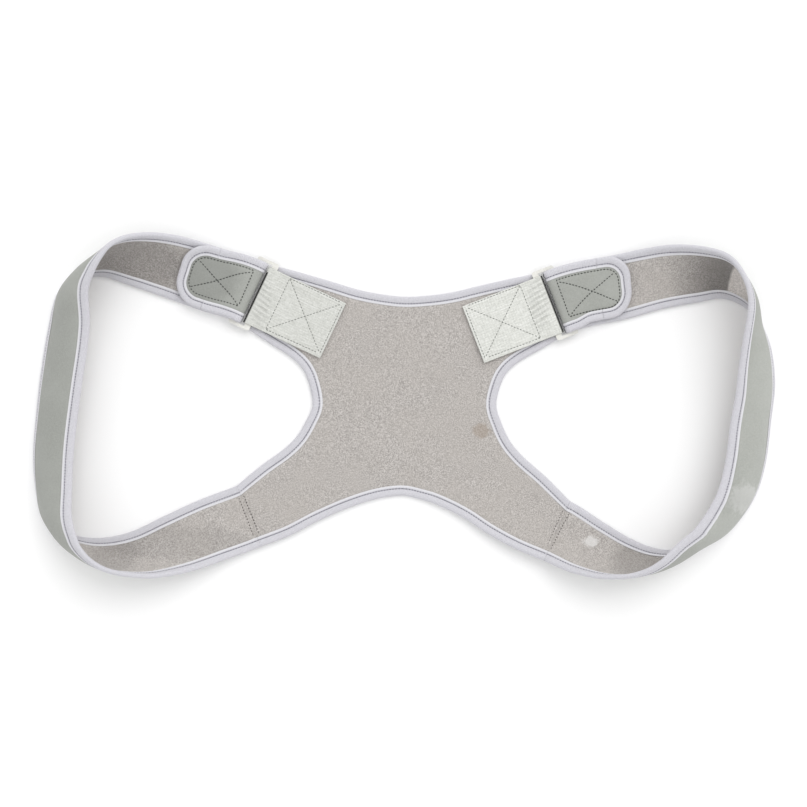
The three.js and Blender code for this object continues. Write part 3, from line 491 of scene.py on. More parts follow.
class Threads:
    """Stitches of one piece, each a short thread that dips into the cloth at both ends. RINGS are a thread's
    rings of points: place as a share of its half length, then width and height in radii."""

    SIDES = 6
    RINGS = ((-1.0, 0.45, -0.35), (-0.62, 0.95, 0.12), (0.0, 1.0, 0.3), (0.62, 0.95, 0.12),
             (1.0, 0.45, -0.35))

    def __init__(self):
        self.points, self.faces = [], []

    def stitch(self, middle, along, up, length, radius):
        side = np.cross(up, along)
        start = len(self.points)
        for t, wide, height in self.RINGS:
            centre = middle + along * t * length / 2 + up * height * radius
            for k in range(self.SIDES):
                a = 2 * math.pi * k / self.SIDES
                self.points.append(centre + (side * math.cos(a) + up * math.sin(a) * 0.8) * radius * wide)
        for f in tube_faces(len(self.RINGS), self.SIDES):
            self.faces.append(tuple(start + i for i in f))
        first = [start + k for k in range(self.SIDES)]
        last = [start + (len(self.RINGS) - 1) * self.SIDES + k for k in range(self.SIDES)]
        self.faces += [tuple(first[::-1]), tuple(last)]

    def run(self, points, normals, sign, pitch=STITCH_PITCH, length=STITCH_LENGTH, radius=STITCH_RADIUS):
        """Stitches along a path of points that lie on the cloth's face."""
        points, normals = np.array(points), np.array(normals)
        total = running_length(points)
        count = int(total[-1] / pitch)
        for i in range(count):
            s = (i + 0.5) * pitch
            ends = [np.array([np.interp(s + d, total, points[:, k]) for k in range(3)]) for d in (-0.4, 0.4)]
            up = unit(np.array([np.interp(s, total, normals[:, k]) for k in range(3)]))
            along = unit(ends[1] - ends[0])
            up = unit(up - along * float(up @ along))
            mirror = np.array([sign, 1, 1])
            self.stitch((ends[0] + ends[1]) / 2 * mirror, along * mirror, up * mirror, length, radius)

    def build(self, name, material):
        points = (np.array(self.points) + SHIFT) / 1000
        return make_object(name, points, self.faces, np.array(self.points), [material])


# The view from above: the pixel that shows the model's middle, and a pixel's size on the table in millimetres
VIEW_MIDDLE = (404.3, 404)
PIXEL_SIZE = 0.825

# How bright the light makes a white surface that faces up
LIGHT = 1.2

# Where painted shade makes a dark line between the folds and the webbing, in pixels of the view, and its half
# width
SLOT_SHADE_LINES = [((242.8, 325), (267.6, 272.6)), ((540.3, 274.3), (563.7, 334.3))]
SLOT_SHADE_WIDTH = 2.1

# Painted shade on the lining, and painted light and shade on the outside: patches made darker or lighter,
# middle in pixels of the view, radii in millimetres, factor
PAINTED_SHADE_SPOTS = [((142, 266), (42, 26), 0.68), ((176, 542), (70, 15), 0.86), ((118, 552), (22, 16), 0.84),
       ((637, 560), (26, 16), 0.78)]
PAINTED_LIGHT_AND_SHADE_OUTSIDE = [((752, 420), (30, 80), 1.12), ((722, 530), (42, 22), 1.14), ((206, 277), (32, 26), 0.8),
               ((58, 400), (30, 120), 0.93)]

# Painted shade and painted light on the right upper strap's lining, darker towards a fold and lighter beyond
# it: where, in pixels across
FOLD_SHADE_AND_LIGHT = (655, 722, 724, 727, 742)


class Look:
    """A material under construction: its colour and normal so far. Inputs are sockets or plain values."""

    def __init__(self, name, roughness, sheen=0.0):
        self.material = bpy.data.materials.new(name)
        self.material.use_nodes = True
        self.tree = self.material.node_tree
        self.shader = self.tree.nodes["Principled BSDF"]
        self.shader.inputs["Roughness"].default_value = roughness
        self.shader.inputs["Sheen Weight"].default_value = sheen
        self.shader.inputs["Sheen Roughness"].default_value = 0.5
        self.shader.inputs["Specular IOR Level"].default_value = 0.25
        self.colour = None
        self.normal = None

    def fill(self, socket, value):
        if isinstance(value, bpy.types.NodeSocket):
            self.tree.links.new(value, socket)
        else:
            socket.default_value = value

    def node(self, kind, inputs=(), output=0, **settings):
        made = self.tree.nodes.new(kind)
        for key, value in settings.items():
            setattr(made, key, value)
        for key, value in dict(inputs).items():
            self.fill(made.inputs[key], value)
        return made.outputs[output]

    def cloth(self):
        return self.node("ShaderNodeAttribute", output="Vector", attribute_name="cloth")

    def vector(self, operation, a, b=None, output=0):
        inputs = {0: a} if b is None else {0: a, 1: b}
        return self.node("ShaderNodeVectorMath", inputs, output=output, operation=operation)

    def place(self):
        """Where a point lies in the model, in millimetres."""
        return self.stretch(self.node("ShaderNodeTexCoord", output="Object"), (1000, 1000, 1000))

    def split(self, vector, axis):
        return self.node("ShaderNodeSeparateXYZ", {0: vector}, output=axis)

    def math(self, operation, a, b=0.0):
        return self.node("ShaderNodeMath", {0: a, 1: b}, operation=operation)

    def both(self, a, b):
        return self.math("MULTIPLY", a, b)

    def away(self, value, centre):
        """How far a value is from a centre."""
        return self.math("ABSOLUTE", self.math("SUBTRACT", value, centre))

    def stretch(self, vector, factors):
        return self.vector("MULTIPLY", vector, factors)

    def noise(self, vector, scale, detail=2.0, roughness=0.5):
        inputs = {"Vector": vector, "Scale": scale, "Detail": detail, "Roughness": roughness}
        return self.node("ShaderNodeTexNoise", inputs)

    def wave(self, factors, scale, direction, distortion=0.0, detail=2.0):
        """Woven bands across the cloth's own directions, which the factors weigh."""
        inputs = {"Vector": self.stretch(self.cloth(), factors), "Scale": scale, "Distortion": distortion,
                  "Detail": detail}
        return self.node("ShaderNodeTexWave", inputs, output=1, bands_direction=direction)

    def loops(self, scale):
        return self.node("ShaderNodeTexVoronoi", {"Vector": self.cloth(), "Scale": scale}, feature="F1")

    def between(self, value, low, high, to_low=0.0, to_high=1.0):
        inputs = {0: value, 1: low, 2: high, 3: to_low, 4: to_high}
        return self.node("ShaderNodeMapRange", inputs, interpolation_type="SMOOTHSTEP")

    def mix(self, factor, a, b, blend="MIX"):
        made = self.tree.nodes.new("ShaderNodeMix")
        made.data_type = "RGBA"
        made.blend_type = blend
        for socket, value in ((0, factor), (6, a), (7, b)):
            self.fill(made.inputs[socket], value)
        return made.outputs[2]

    def spot(self, pixel, radii, ragged=0.0):
        """1 inside an ellipse on the table and 0 outside it, with a soft and ragged rim."""
        place = self.place()
        moved = self.vector("SUBTRACT", place, (*at_pixel(*pixel), 0))
        scaled = self.stretch(moved, (1 / radii[0], 1 / radii[1], 0))
        distance = self.vector("LENGTH", scaled, output="Value")
        if ragged:
            wobble = self.both(self.noise(place, 0.25, 3), ragged)
            distance = self.math("ADD", distance, self.math("SUBTRACT", wobble, ragged / 2))
        return self.between(distance, 1.15, 0.6)

    def band(self, start, end, width):
        """1 on the straight line between two pixels of the view and 0 beside it."""
        start, end = np.array(at_pixel(*start)), np.array(at_pixel(*end))
        length = float(np.linalg.norm(end - start))
        x, y = (end - start) / length
        moved = self.vector("SUBTRACT", self.place(), (*start, 0))
        off = self.vector("DOT_PRODUCT", moved, (-y, x, 0), "Value")
        run = self.vector("DOT_PRODUCT", moved, (x, y, 0), "Value")
        within = self.both(self.between(run, -0.5, 0.5), self.between(run, length + 0.5, length - 0.5))
        return self.both(self.between(self.math("ABSOLUTE", off), width, width * 0.4), within)

    def grained(self, grain, dark, light):
        self.colour = self.mix(grain, shade(*dark), shade(*light))

    def paint(self, where, *rgb):
        self.colour = self.mix(where, self.colour, shade(*rgb))

    def tone(self, where, factor):
        """Multiplies the colour by a factor, as far as where says."""
        toned = self.mix(1.0, self.colour, (factor, factor, factor, 1.0), "MULTIPLY")
        self.colour = self.mix(where, self.colour, toned)

    def tone_spots(self, spots, ragged):
        for pixel, radii, factor in spots:
            self.tone(self.spot(pixel, radii, ragged), factor)

    def shade_slots(self):
        """The deep shade between each strap's fold and the webbing."""
        for start, end in SLOT_SHADE_LINES:
            self.tone(self.band(start, end, SLOT_SHADE_WIDTH), 0.03)

    def relief(self, height, distance, strength=1.0):
        """Bumps of this height in millimetres, on top of those so far."""
        inputs = {"Height": height, "Distance": distance / 1000, "Strength": strength}
        if self.normal is not None:
            inputs["Normal"] = self.normal
        self.normal = self.node("ShaderNodeBump", inputs)

    def finish(self, roughness=None):
        self.fill(self.shader.inputs["Base Color"], self.colour)
        self.fill(self.shader.inputs["Normal"], self.normal)
        if roughness is not None:
            self.fill(self.shader.inputs["Roughness"], roughness)
        return self.material


def shade(r, g, b):
    """The colour of cloth that shows as this sRGB colour on a flat part of the object."""
    def linear(value):
        value /= 255
        return value / 12.92 if value <= 0.04045 else ((value + 0.055) / 1.055) ** 2.4
    return (*(min(linear(x) / LIGHT, 0.98) for x in (r, g, b)), 1.0)


def at_pixel(x, y):
    """The place on the table, in millimetres, that shows at this pixel of the view."""
    return ((x - VIEW_MIDDLE[0]) * PIXEL_SIZE + SHIFT[0], (VIEW_MIDDLE[1] - y) * PIXEL_SIZE + SHIFT[1])


def lining_look():
    look = Look("lining_knit", 0.96, sheen=0.15)
    cloth, place = look.cloth(), look.place()
    fine = look.noise(cloth, 1.25, 3, 0.75)
    look.grained(look.between(fine, 0.36, 0.64), (155, 150, 146), (224, 219, 215))
    look.paint(look.between(look.noise(cloth, 0.55, 2, 0.6), 0.4, 0.7, 0, 0.3), 176, 170, 165)
    look.paint(look.between(look.noise(place, 0.03, 2), 0.35, 0.65, 0, 0.3), 196, 190, 184)
    look.paint(look.both(look.spot((481, 431), (8, 7), 1.1), 0.5), 166, 150, 134)
    look.paint(look.both(look.spot((590, 541), (6.5, 4.5), 1.4), 0.75), 234, 232, 230)
    # Painted shade towards the right upper strap's fold and painted light beyond it
    across = look.split(place, 0)
    start, deepest, fold, beyond, end = (at_pixel(x, 0)[0] for x in FOLD_SHADE_AND_LIGHT)
    corner = look.spot((706, 272), (56, 34), 0.2)
    darker = look.both(look.between(across, start, deepest), look.between(across, beyond, fold))
    look.tone(look.both(darker, corner), 0.46)
    lighter = look.both(look.between(across, fold, beyond), look.between(across, end + 4, end))
    look.tone(look.both(lighter, corner), 1.3)
    # Painted shade: patches of the lining darkened where shade falls
    look.tone_spots(PAINTED_SHADE_SPOTS, 0.4)
    look.relief(fine, 0.6, 0.7)
    look.relief(look.loops(0.95), 0.35, 0.5)
    return look.finish()


def sage_look():
    look = Look("sage_outside", 0.9, sheen=0.1)
    fine = look.noise(look.cloth(), 1.6, 3, 0.7)
    broad = look.noise(look.stretch(look.place(), (1, 1, 0.4)), 0.028, 2)
    look.grained(look.between(fine, 0.3, 0.7), (160, 162, 156), (180, 182, 177))
    look.paint(look.between(broad, 0.3, 0.7, 0, 0.4), 184, 186, 181)
    look.paint(look.both(look.spot((738, 497), (16, 14), 1.2), 0.45), 214, 214, 212)
    # Painted light and shade: patches of the outside made lighter or darker
    look.tone_spots(PAINTED_LIGHT_AND_SHADE_OUTSIDE, 0.3)
    look.shade_slots()
    look.relief(fine, 0.25, 0.5)
    look.relief(look.wave((1, 1, 1), 0.28, "Y", 1.2, 1.0), 0.12, 0.4)
    return look.finish()


def tape_look():
    look = Look("edge_tape", 0.8, sheen=0.2)
    cloth = look.cloth()
    along, inward = look.split(cloth, 0), look.split(cloth, 1)
    weave = look.wave((1, 0, 0), 0.3, "X", 1.6, 1.0)
    grain = look.noise(cloth, 2.2, 2, 0.6)
    off_line = look.away(inward, TAPE_STITCH_AT)
    look.grained(look.between(grain, 0.3, 0.7), (204, 203, 209), (236, 235, 241))
    look.paint(look.between(off_line, 0.75, 0.1, 0, 0.5), 158, 157, 165)
    # Painted shade: dark dots in the stitch holes between the stitches
    off_stitch = look.away(look.math("FRACT", look.math("DIVIDE", along, STITCH_PITCH)), 0.5)
    holes = look.both(look.between(off_stitch, 0.36, 0.44), look.between(off_line, 0.6, 0.3))
    look.paint(look.both(holes, 0.9), 84, 83, 92)
    look.shade_slots()
    look.paint(look.between(weave, 0.0, 0.7, 0.26, 0), 176, 175, 183)
    # Painted highlight: a light strip along the top of the tape's raised inner bead
    look.paint(look.between(inward, 6.6, 7.3, 0, 0.55), 246, 246, 249)
    look.relief(weave, 0.2, 0.6)
    look.relief(look.wave((0, 1, 0), 0.5, "Y"), 0.1, 0.4)
    look.relief(grain, 0.12, 0.4)
    return look.finish()


def webbing_look():
    look = Look("webbing_weave", 0.55)
    cloth = look.cloth()
    ribs = look.wave((1, 0, 0), 0.13, "X", 2.5, 1.0)
    warp = look.wave((0, 1, 0), 0.16, "Y", 2.2)
    hatch = look.wave((0.2, 1, 0), 0.15, "DIAGONAL", 0.6)
    streaks = look.noise(look.stretch(cloth, (0.05, 1.4, 1)), 0.7, 3, 0.6)
    mottle = look.noise(look.stretch(cloth, (0.6, 1.3, 1)), 0.45, 3, 0.7)
    look.grained(look.between(look.noise(cloth, 1.8, 2, 0.6), 0.3, 0.7), (208, 209, 203), (240, 241, 236))
    look.paint(look.between(ribs, 0.0, 0.5, 0.1, 0), 188, 190, 183)
    look.paint(look.between(streaks, 0.5, 0.75, 0, 0.55), 250, 250, 248)
    look.paint(look.between(mottle, 0.42, 0.66, 0, 0.4), 190, 191, 185)
    look.paint(look.between(warp, 0.0, 0.6, 0.16, 0), 178, 179, 173)
    # Painted light: the right webbing made lighter than the left
    look.tone(look.spot((500, 320), (62, 50), 0.2), 1.1)
    necks = look.math("MAXIMUM", look.spot((538, 305), (10, 26)), look.spot((261, 300), (10, 26)))
    look.tone(look.both(look.between(hatch, 0.8, 0.2), necks), 0.84)
    look.shade_slots()
    look.relief(ribs, 0.28, 0.6)
    look.relief(warp, 0.14, 0.45)
    return look.finish(look.between(streaks, 0.35, 0.7, 0.62, 0.38))


def ring_look():
    look = Look("ring_cream", 0.38)
    grain = look.noise(look.place(), 0.6, 3, 0.6)
    look.grained(look.between(grain, 0.3, 0.7), (234, 233, 226), (245, 244, 239))
    look.shade_slots()
    look.relief(grain, 0.04, 0.3)
    return look.finish()


def thread_look(name, dark, light):
    look = Look(name, 0.65)
    twist = look.noise(look.stretch(look.cloth(), (3, 3, 3)), 1.0, 1)
    look.grained(look.between(twist, 0.35, 0.65), dark, light)
    look.relief(twist, 0.05, 0.4)
    return look.finish()


def hook_look():
    look = Look("hook_fastener", 0.85)
    dots = look.loops(0.9)
    look.grained(look.between(dots, 0.1, 0.5), (168, 168, 165), (118, 118, 116))
    look.relief(dots, 0.5, 0.8)
    return look.finish()


LINING, SAGE, TAPE = lining_look(), sage_look(), tape_look()
WEBBING, RING, HOOK = webbing_look(), ring_look(), hook_look()
TAPE_THREAD = thread_look("tape_thread", (112, 111, 122), (150, 149, 160))
SEAM_THREAD = thread_look("seam_thread", (74, 70, 68), (106, 101, 98))
TAB_THREAD = thread_look("tab_thread", (52, 55, 52), (86, 89, 85))
WEB_THREAD = thread_look("web_thread", (104, 106, 102), (142, 144, 139))


def placed_piece(piece, nodes=()):
    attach(piece, "root")
    if nodes:
        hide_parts(*nodes)
    return piece


# Straps


def tab_depth(strap, distance, v):
    """How far a place on the tab is in from the tab's outline."""
    low, high = strap.side["tab_inset"], STRAP_WIDTH
    aside = np.abs(v - (low + high) / 2)
    half = (high - low) / 2
    past, out = distance - (TAB_LENGTH - TAB_CORNER), aside - (half - TAB_CORNER)
    round_corner = TAB_CORNER - np.hypot(np.maximum(past, 0), np.maximum(out, 0))
    return np.minimum(np.minimum(TAB_LENGTH - distance, half - aside), round_corner)


def nearness(points, lines):
    """Distance of flat points from the nearest of some straight lines."""
    best = np.full(len(points), 1e9)
    for a, b in lines:
        a, b = np.array(a, float), np.array(b, float)
        t = np.clip(((points - a) @ (b - a)) / ((b - a) @ (b - a)), 0, 1)
        best = np.minimum(best, np.linalg.norm(points - (a + t[:, None] * (b - a)), axis=1))
    return best


# Seams sewn through the tab: distance from the fold and length across it. The outline's row starts beside the
# fold and runs inside the tab's outline, whose inner edge is taken to be inset alike on both sides.
TAB_DIAGONALS = [((46, 39.5), (2.5, 12)), ((47, 16), (2.5, 42.5))]
SEAM_START = 2.5
SEAM_INSET = 10.2
TAB_MEAN_INSET = 1.8


def tab_outline_seam():
    """Straight pieces of the row that follows the inner edge of the tab's tape."""
    low, high, straight = TAB_MEAN_INSET + SEAM_INSET, STRAP_WIDTH - SEAM_INSET, TAB_LENGTH - TAB_CORNER
    radius = TAB_CORNER - SEAM_INSET
    path = [(SEAM_START, low), (straight, low)]
    path += [(straight + radius * math.sin(a), low + radius * (1 - math.cos(a)))
             for a in np.linspace(0, math.pi / 2, 9)[1:]]
    path += [(straight + radius * math.cos(a), high - radius * (1 - math.sin(a)))
             for a in np.linspace(0, math.pi / 2, 9)]
    path += [(SEAM_START, high), (SEAM_START, low)]
    return path


TAB_PATHS = [tab_outline_seam(), *TAB_DIAGONALS]
TAB_SEAMS = [pair for path in TAB_PATHS for pair in zip(path, path[1:])]


def strap_laminate(strap):
    straight, corner = TAB_LENGTH - TAB_CORNER, TAB_CORNER - CUT_INSET
    marks = strap.places(LAMINATE_STEP, straight - 1)
    base = marks[-1][1] - marks[-1][0][1]
    for angle in np.linspace(0, math.pi / 2, 12)[1:]:
        distance = straight + corner * math.sin(angle)
        marks.append((("tab", min(distance, TAB_LENGTH - CUT_INSET)), base + distance))
    sections = []
    for place, run in marks:
        kind, value = place
        low, high = strap.edges(place)
        if kind == "tab":
            cut = corner - math.sqrt(max(corner**2 - max(value - straight, 0) ** 2, 0))
            low, high = strap.tab_edges(min(value, straight))[1] + cut, STRAP_WIDTH - cut
        v, d = laminate_columns(low, high, strap.skew(place, low), strap.skew(place, high))
        p, n = strap.probe(place, v)
        if kind == "loop":
            wave = 0.25 * np.sin(run / 17 + v / 23) * ramp(run / 20) * ramp(d / 12)
            p = p + n * wave[:, None]
        if kind == "tab":
            d = tab_depth(strap, value, v)
        half = pad_half(d) - seam_dip(run)
        if kind == "tab":
            spots = np.stack([np.full(len(v), value), v], axis=1)
            half = half - 0.4 * np.exp(-((nearness(spots, TAB_SEAMS) / 1.3) ** 2))
        sections.append((p, n, half, cloth_places(run, v)))
    return sheet_mesh(f"strap_{strap.name}_pad", sections, strap.sign, [LINING, SAGE])


def edge_sections(strap, marks, far):
    """Tape sections along one edge of the strap, and the stitch line on its two faces."""
    sections, line = [], []
    for place, run in marks:
        low, high = strap.edges(place)
        edge = high if far else low
        skew = strap.skew(place, edge)

        def probe(d):
            return strap.probe(place, edge - d / skew if far else edge + d / skew)

        sections.append(tape_section(probe, pucker_at(run)))
        p, n = probe(np.array([TAPE_STITCH_AT]))
        line.append((p[0], n[0]))
    return sections, line


def tip_sections(strap, start):
    """Tape sections round the tab's tip, from its inner edge to its outer one, their stitch line and running
    lengths."""
    low, high, straight = strap.side["tab_inset"], STRAP_WIDTH, TAB_LENGTH - TAB_CORNER
    path = [(s, low, 0.0) for s in np.arange(start, straight, TAPE_STEP)]
    for angle in np.linspace(0, math.pi / 2, 30):
        v = low + TAB_CORNER * (1 - math.cos(angle))
        path.append((straight + TAB_CORNER * math.sin(angle), v, angle))
    for v in np.arange(low + TAB_CORNER, high - TAB_CORNER, TAPE_STEP)[1:]:
        path.append((TAB_LENGTH, v, math.pi / 2))
    for angle in np.linspace(math.pi / 2, math.pi, 30):
        v = high - TAB_CORNER * (1 + math.cos(angle))
        path.append((straight + TAB_CORNER * math.sin(angle), v, angle))
    path += [(s, high, math.pi) for s in np.arange(straight - TAPE_STEP, start, -TAPE_STEP)]
    path.append((start, high, math.pi))
    sections, line, runs, run, before = [], [], [], 0.0, None
    for distance, length, angle in path:
        def probe(d):
            us = strap.where_back(distance - d * math.sin(angle))
            vs = length + d * math.cos(angle)
            normal = slopes(strap.at, us, vs)[2]
            return strap.at(us, vs) + normal * TAB_OFFSET, -normal
        here = probe(np.array([0.0]))[0][0]
        run += 0.0 if before is None else float(np.linalg.norm(here - before))
        before = here
        sections.append(tape_section(probe, pucker_at(run)))
        p, n = probe(np.array([TAPE_STITCH_AT]))
        line.append((p[0], n[0]))
        runs.append(run)
    return sections, line, runs


def sew_tape(threads, line, sign):
    """Stitches along a line of points and normals, on both faces of the tape."""
    for face in (1, -1):
        threads.run([p + n * STITCH_LIFT * face for p, n in line], [n * face for _, n in line], sign)


def sew_tab(strap):
    """The rows that hold the tab's laminate together, on its upper face."""
    threads = Threads()
    for path in TAB_PATHS:
        corners = np.array(path, float)
        run = running_length(corners)
        points, normals = [], []
        for s in np.arange(0, run[-1], 0.7):
            distance, v = (np.interp(s, run, corners[:, k]) for k in range(2))
            p, n = strap.probe(("tab", max(distance, 0.2)), np.array([v]))
            points.append(p[0] - n[0] * 1.02)
            normals.append(-n[0])
        threads.run(points, normals, strap.sign, pitch=2.7, length=1.8, radius=0.4)
    placed_piece(threads.build(f"tab_{strap.name}_stitches", TAB_THREAD))


def build_strap(name):
    """The strap and its first tape sections, which the panel's tapes lead on to."""
    strap = Strap(name)
    laminate = strap_laminate(strap)
    placed_piece(laminate, [f"strap_{name}"])
    tape_end = TAB_LENGTH - TAB_CORNER - 6
    marks = strap.places(TAPE_STEP, tape_end)
    threads = Threads()
    firsts = {}
    for edge, far in (("inner", False), ("outer", True)):
        sections, line = edge_sections(strap, marks, far)
        firsts[edge] = sections[0]
        tape = tape_mesh(f"strap_{name}_{edge}_tape", sections, [run for _, run in marks], strap.sign, TAPE)
        placed_piece(tape, [f"strap_{name}_{edge}_binding"])
        sew_tape(threads, line, strap.sign)
    sections, line, runs = tip_sections(strap, tape_end + 0.05)
    tape = tape_mesh(f"tab_{name}_tape", sections, runs, strap.sign, TAPE)
    placed_piece(tape, [f"tab_{name}_binding"])
    sew_tape(threads, line, strap.sign)
    placed_piece(threads.build(f"strap_{name}_tape_stitches", TAPE_THREAD))
    sew_tab(strap)
    hook_patch(strap)
    return strap, firsts


def hook_patch(strap):
    low = strap.side["tab_inset"] + HOOK_INSET + TAPE_WIDTH
    high = STRAP_WIDTH - HOOK_INSET - TAPE_WIDTH
    start, end = TAB_SETTLE, TAB_LENGTH - TAPE_WIDTH - HOOK_INSET
    sections = []
    for distance in np.linspace(start, end, 24):
        past = max(HOOK_CORNER - min(distance - start, end - distance), 0)
        cut = HOOK_CORNER - math.sqrt(max(HOOK_CORNER**2 - past**2, 0))
        v = np.linspace(low + cut, high - cut, 26)
        us = np.full(v.shape, float(strap.where_back(distance)))
        n = slopes(strap.at, us, v)[2]
        p = strap.at(us, v) + n * TAB_OFFSET / 2
        sections.append((p, -n, np.ones(v.shape), cloth_places(distance, v, 0)))
    patch = sheet_mesh(f"hook_patch_{strap.name}_tape", sections, strap.sign, [HOOK, HOOK])
    placed_piece(patch, [f"hook_patch_{strap.name}"])


# Panel


def edge_points(start, end, rows, turn):
    line = end - start
    outward = np.array([-line[1], line[0], 0]) * turn
    return np.array([start, *(start + line * along + outward * bow for along, bow in rows), end])


def panel_edges(name):
    side = SIDES[name]
    centre, inward, across = ring_frame(side)
    arm_end = centre + inward * ARM_SETBACK
    at = strap_surface(name)
    flat = np.array([1, 1, 0])
    seam_inner, seam_outer = at(0, 0) * flat, at(0, STRAP_WIDTH) * flat
    armhole = np.array([PANEL_WAIST / 2, ARMHOLE_Y, 0])
    return {
        "neck": edge_points(np.array([0, NECK_Y, 0]), arm_end + across * ARM_WIDTH / 2, EDGE_ROWS["neck"], 1),
        "upper": edge_points(armhole, arm_end - across * ARM_WIDTH / 2, EDGE_ROWS["armhole_upper"], -1),
        "lower": edge_points(armhole, seam_inner, EDGE_ROWS["armhole_lower"], 1),
        "waist": edge_points(np.array([0, WAIST_Y, 0]), seam_outer, EDGE_ROWS[f"waist_{name}"], -1),
    }


def edge_curve(points, neighbour, flip):
    """A centripetal Catmull-Rom curve from the middle point out, led on by the neighbour's first point."""
    guide = neighbour[1] * np.array([-1 if flip else 1, 1, 1])
    knots = np.array([guide, *points])
    before = np.array([2 * knots[0] - knots[1], *knots, 2 * knots[-1] - knots[-2]])
    spans = len(knots) - 1

    def at(t):
        place = 1 + (spans - 1) * np.asarray(t, float)
        i = np.minimum(np.floor(place).astype(int), spans - 1)
        w = (place - i)[..., None]
        a, b, c, d = (before[i + k] for k in range(4))
        d0, d1, d2 = (np.linalg.norm(q - p, axis=-1)[..., None] ** 0.5 for p, q in ((a, b), (b, c), (c, d)))
        m1 = ((b - a) / d0 - (c - a) / (d0 + d1) + (c - b) / d1) * d1
        m2 = ((c - b) / d1 - (d - b) / (d1 + d2) + (d - c) / d2) * d1
        return b + m1 * w + (-3 * b + 3 * c - 2 * m1 - m2) * w**2 + (2 * b - 2 * c + m1 + m2) * w**3

    return at


def arm_surfaces(name):
    """The two arms of one side: at(t, share) from the middle to the arm's end and across it."""
    here, other = panel_edges(name), panel_edges("left" if name == "right" else "right")
    neck = edge_curve(here["neck"], other["neck"], True)
    waist = edge_curve(here["waist"], other["waist"], True)
    upper = edge_curve(here["upper"], here["lower"], False)
    lower = edge_curve(here["lower"], here["upper"], False)

    def surface(inner, outer, lip_at_end):
        def at(t, share):
            t, share = np.broadcast_arrays(np.asarray(t, float), np.asarray(share, float))
            start = inner(t)
            line = outer(t) - start
            lip = lip_at_end * t * t + 1e-4
            span = np.linalg.norm(line, axis=-1)
            width = span * lip / np.sin(lip)
            reach, rise = curl(share * width, 0.0, lip, width)
            point = start + unit(line) * reach[..., None]
            point[..., 2] = TAPE_OUTSIDE + rise
            return point
        return at

    seam_lip = math.radians(SIDES[name]["seam_lip"])
    return {"upper": surface(upper, neck, 0.0), "lower": surface(lower, waist, seam_lip)}


def flat_slopes(at, t, share):
    """As slopes, for an arm. The normal faces up."""
    du = at(np.minimum(t + 1e-3, 1), share) - at(np.maximum(t - 1e-3, 0), share)
    dv = at(t, share + 1e-3) - at(t, share - 1e-3)
    along, across = unit(du), unit(dv)
    normal = unit(np.cross(du, dv))
    return along, across, normal * np.sign(normal[..., 2:3])


# Soft marks in the panel: from, to (pixels of the view), depth and width in millimetres
PANEL_CREASES = [((372, 350), (385, 420), -0.55, 2.6), ((366, 340), (380, 412), 0.3, 7.0),
                 ((500, 286), (468, 384), -0.8, 11.0), ((484, 300), (455, 372), 0.4, 9.0)]


def panel_relief(points):
    total = 0.15 * np.sin(points[:, 0] / 31) * np.cos(points[:, 1] / 27)
    for a, b, depth, width in PANEL_CREASES:
        line = [(np.array(at_pixel(*a)) - SHIFT[:2], np.array(at_pixel(*b)) - SHIFT[:2])]
        total = total + depth * np.exp(-((nearness(points[:, :2], line) / width) ** 2))
    return total


ARM_STEPS = 48


def panel_boundary(arms):
    ts = np.linspace(0, 1, 160)
    found = []
    for name, surfaces in arms.items():
        for at in surfaces.values():
            for share in (0.0, 1.0):
                edge = at(ts, np.full(ts.shape, share))
                edge[:, 0] *= SIDES[name]["sign"]
                found.append(edge[:, :2])
    return np.concatenate(found)


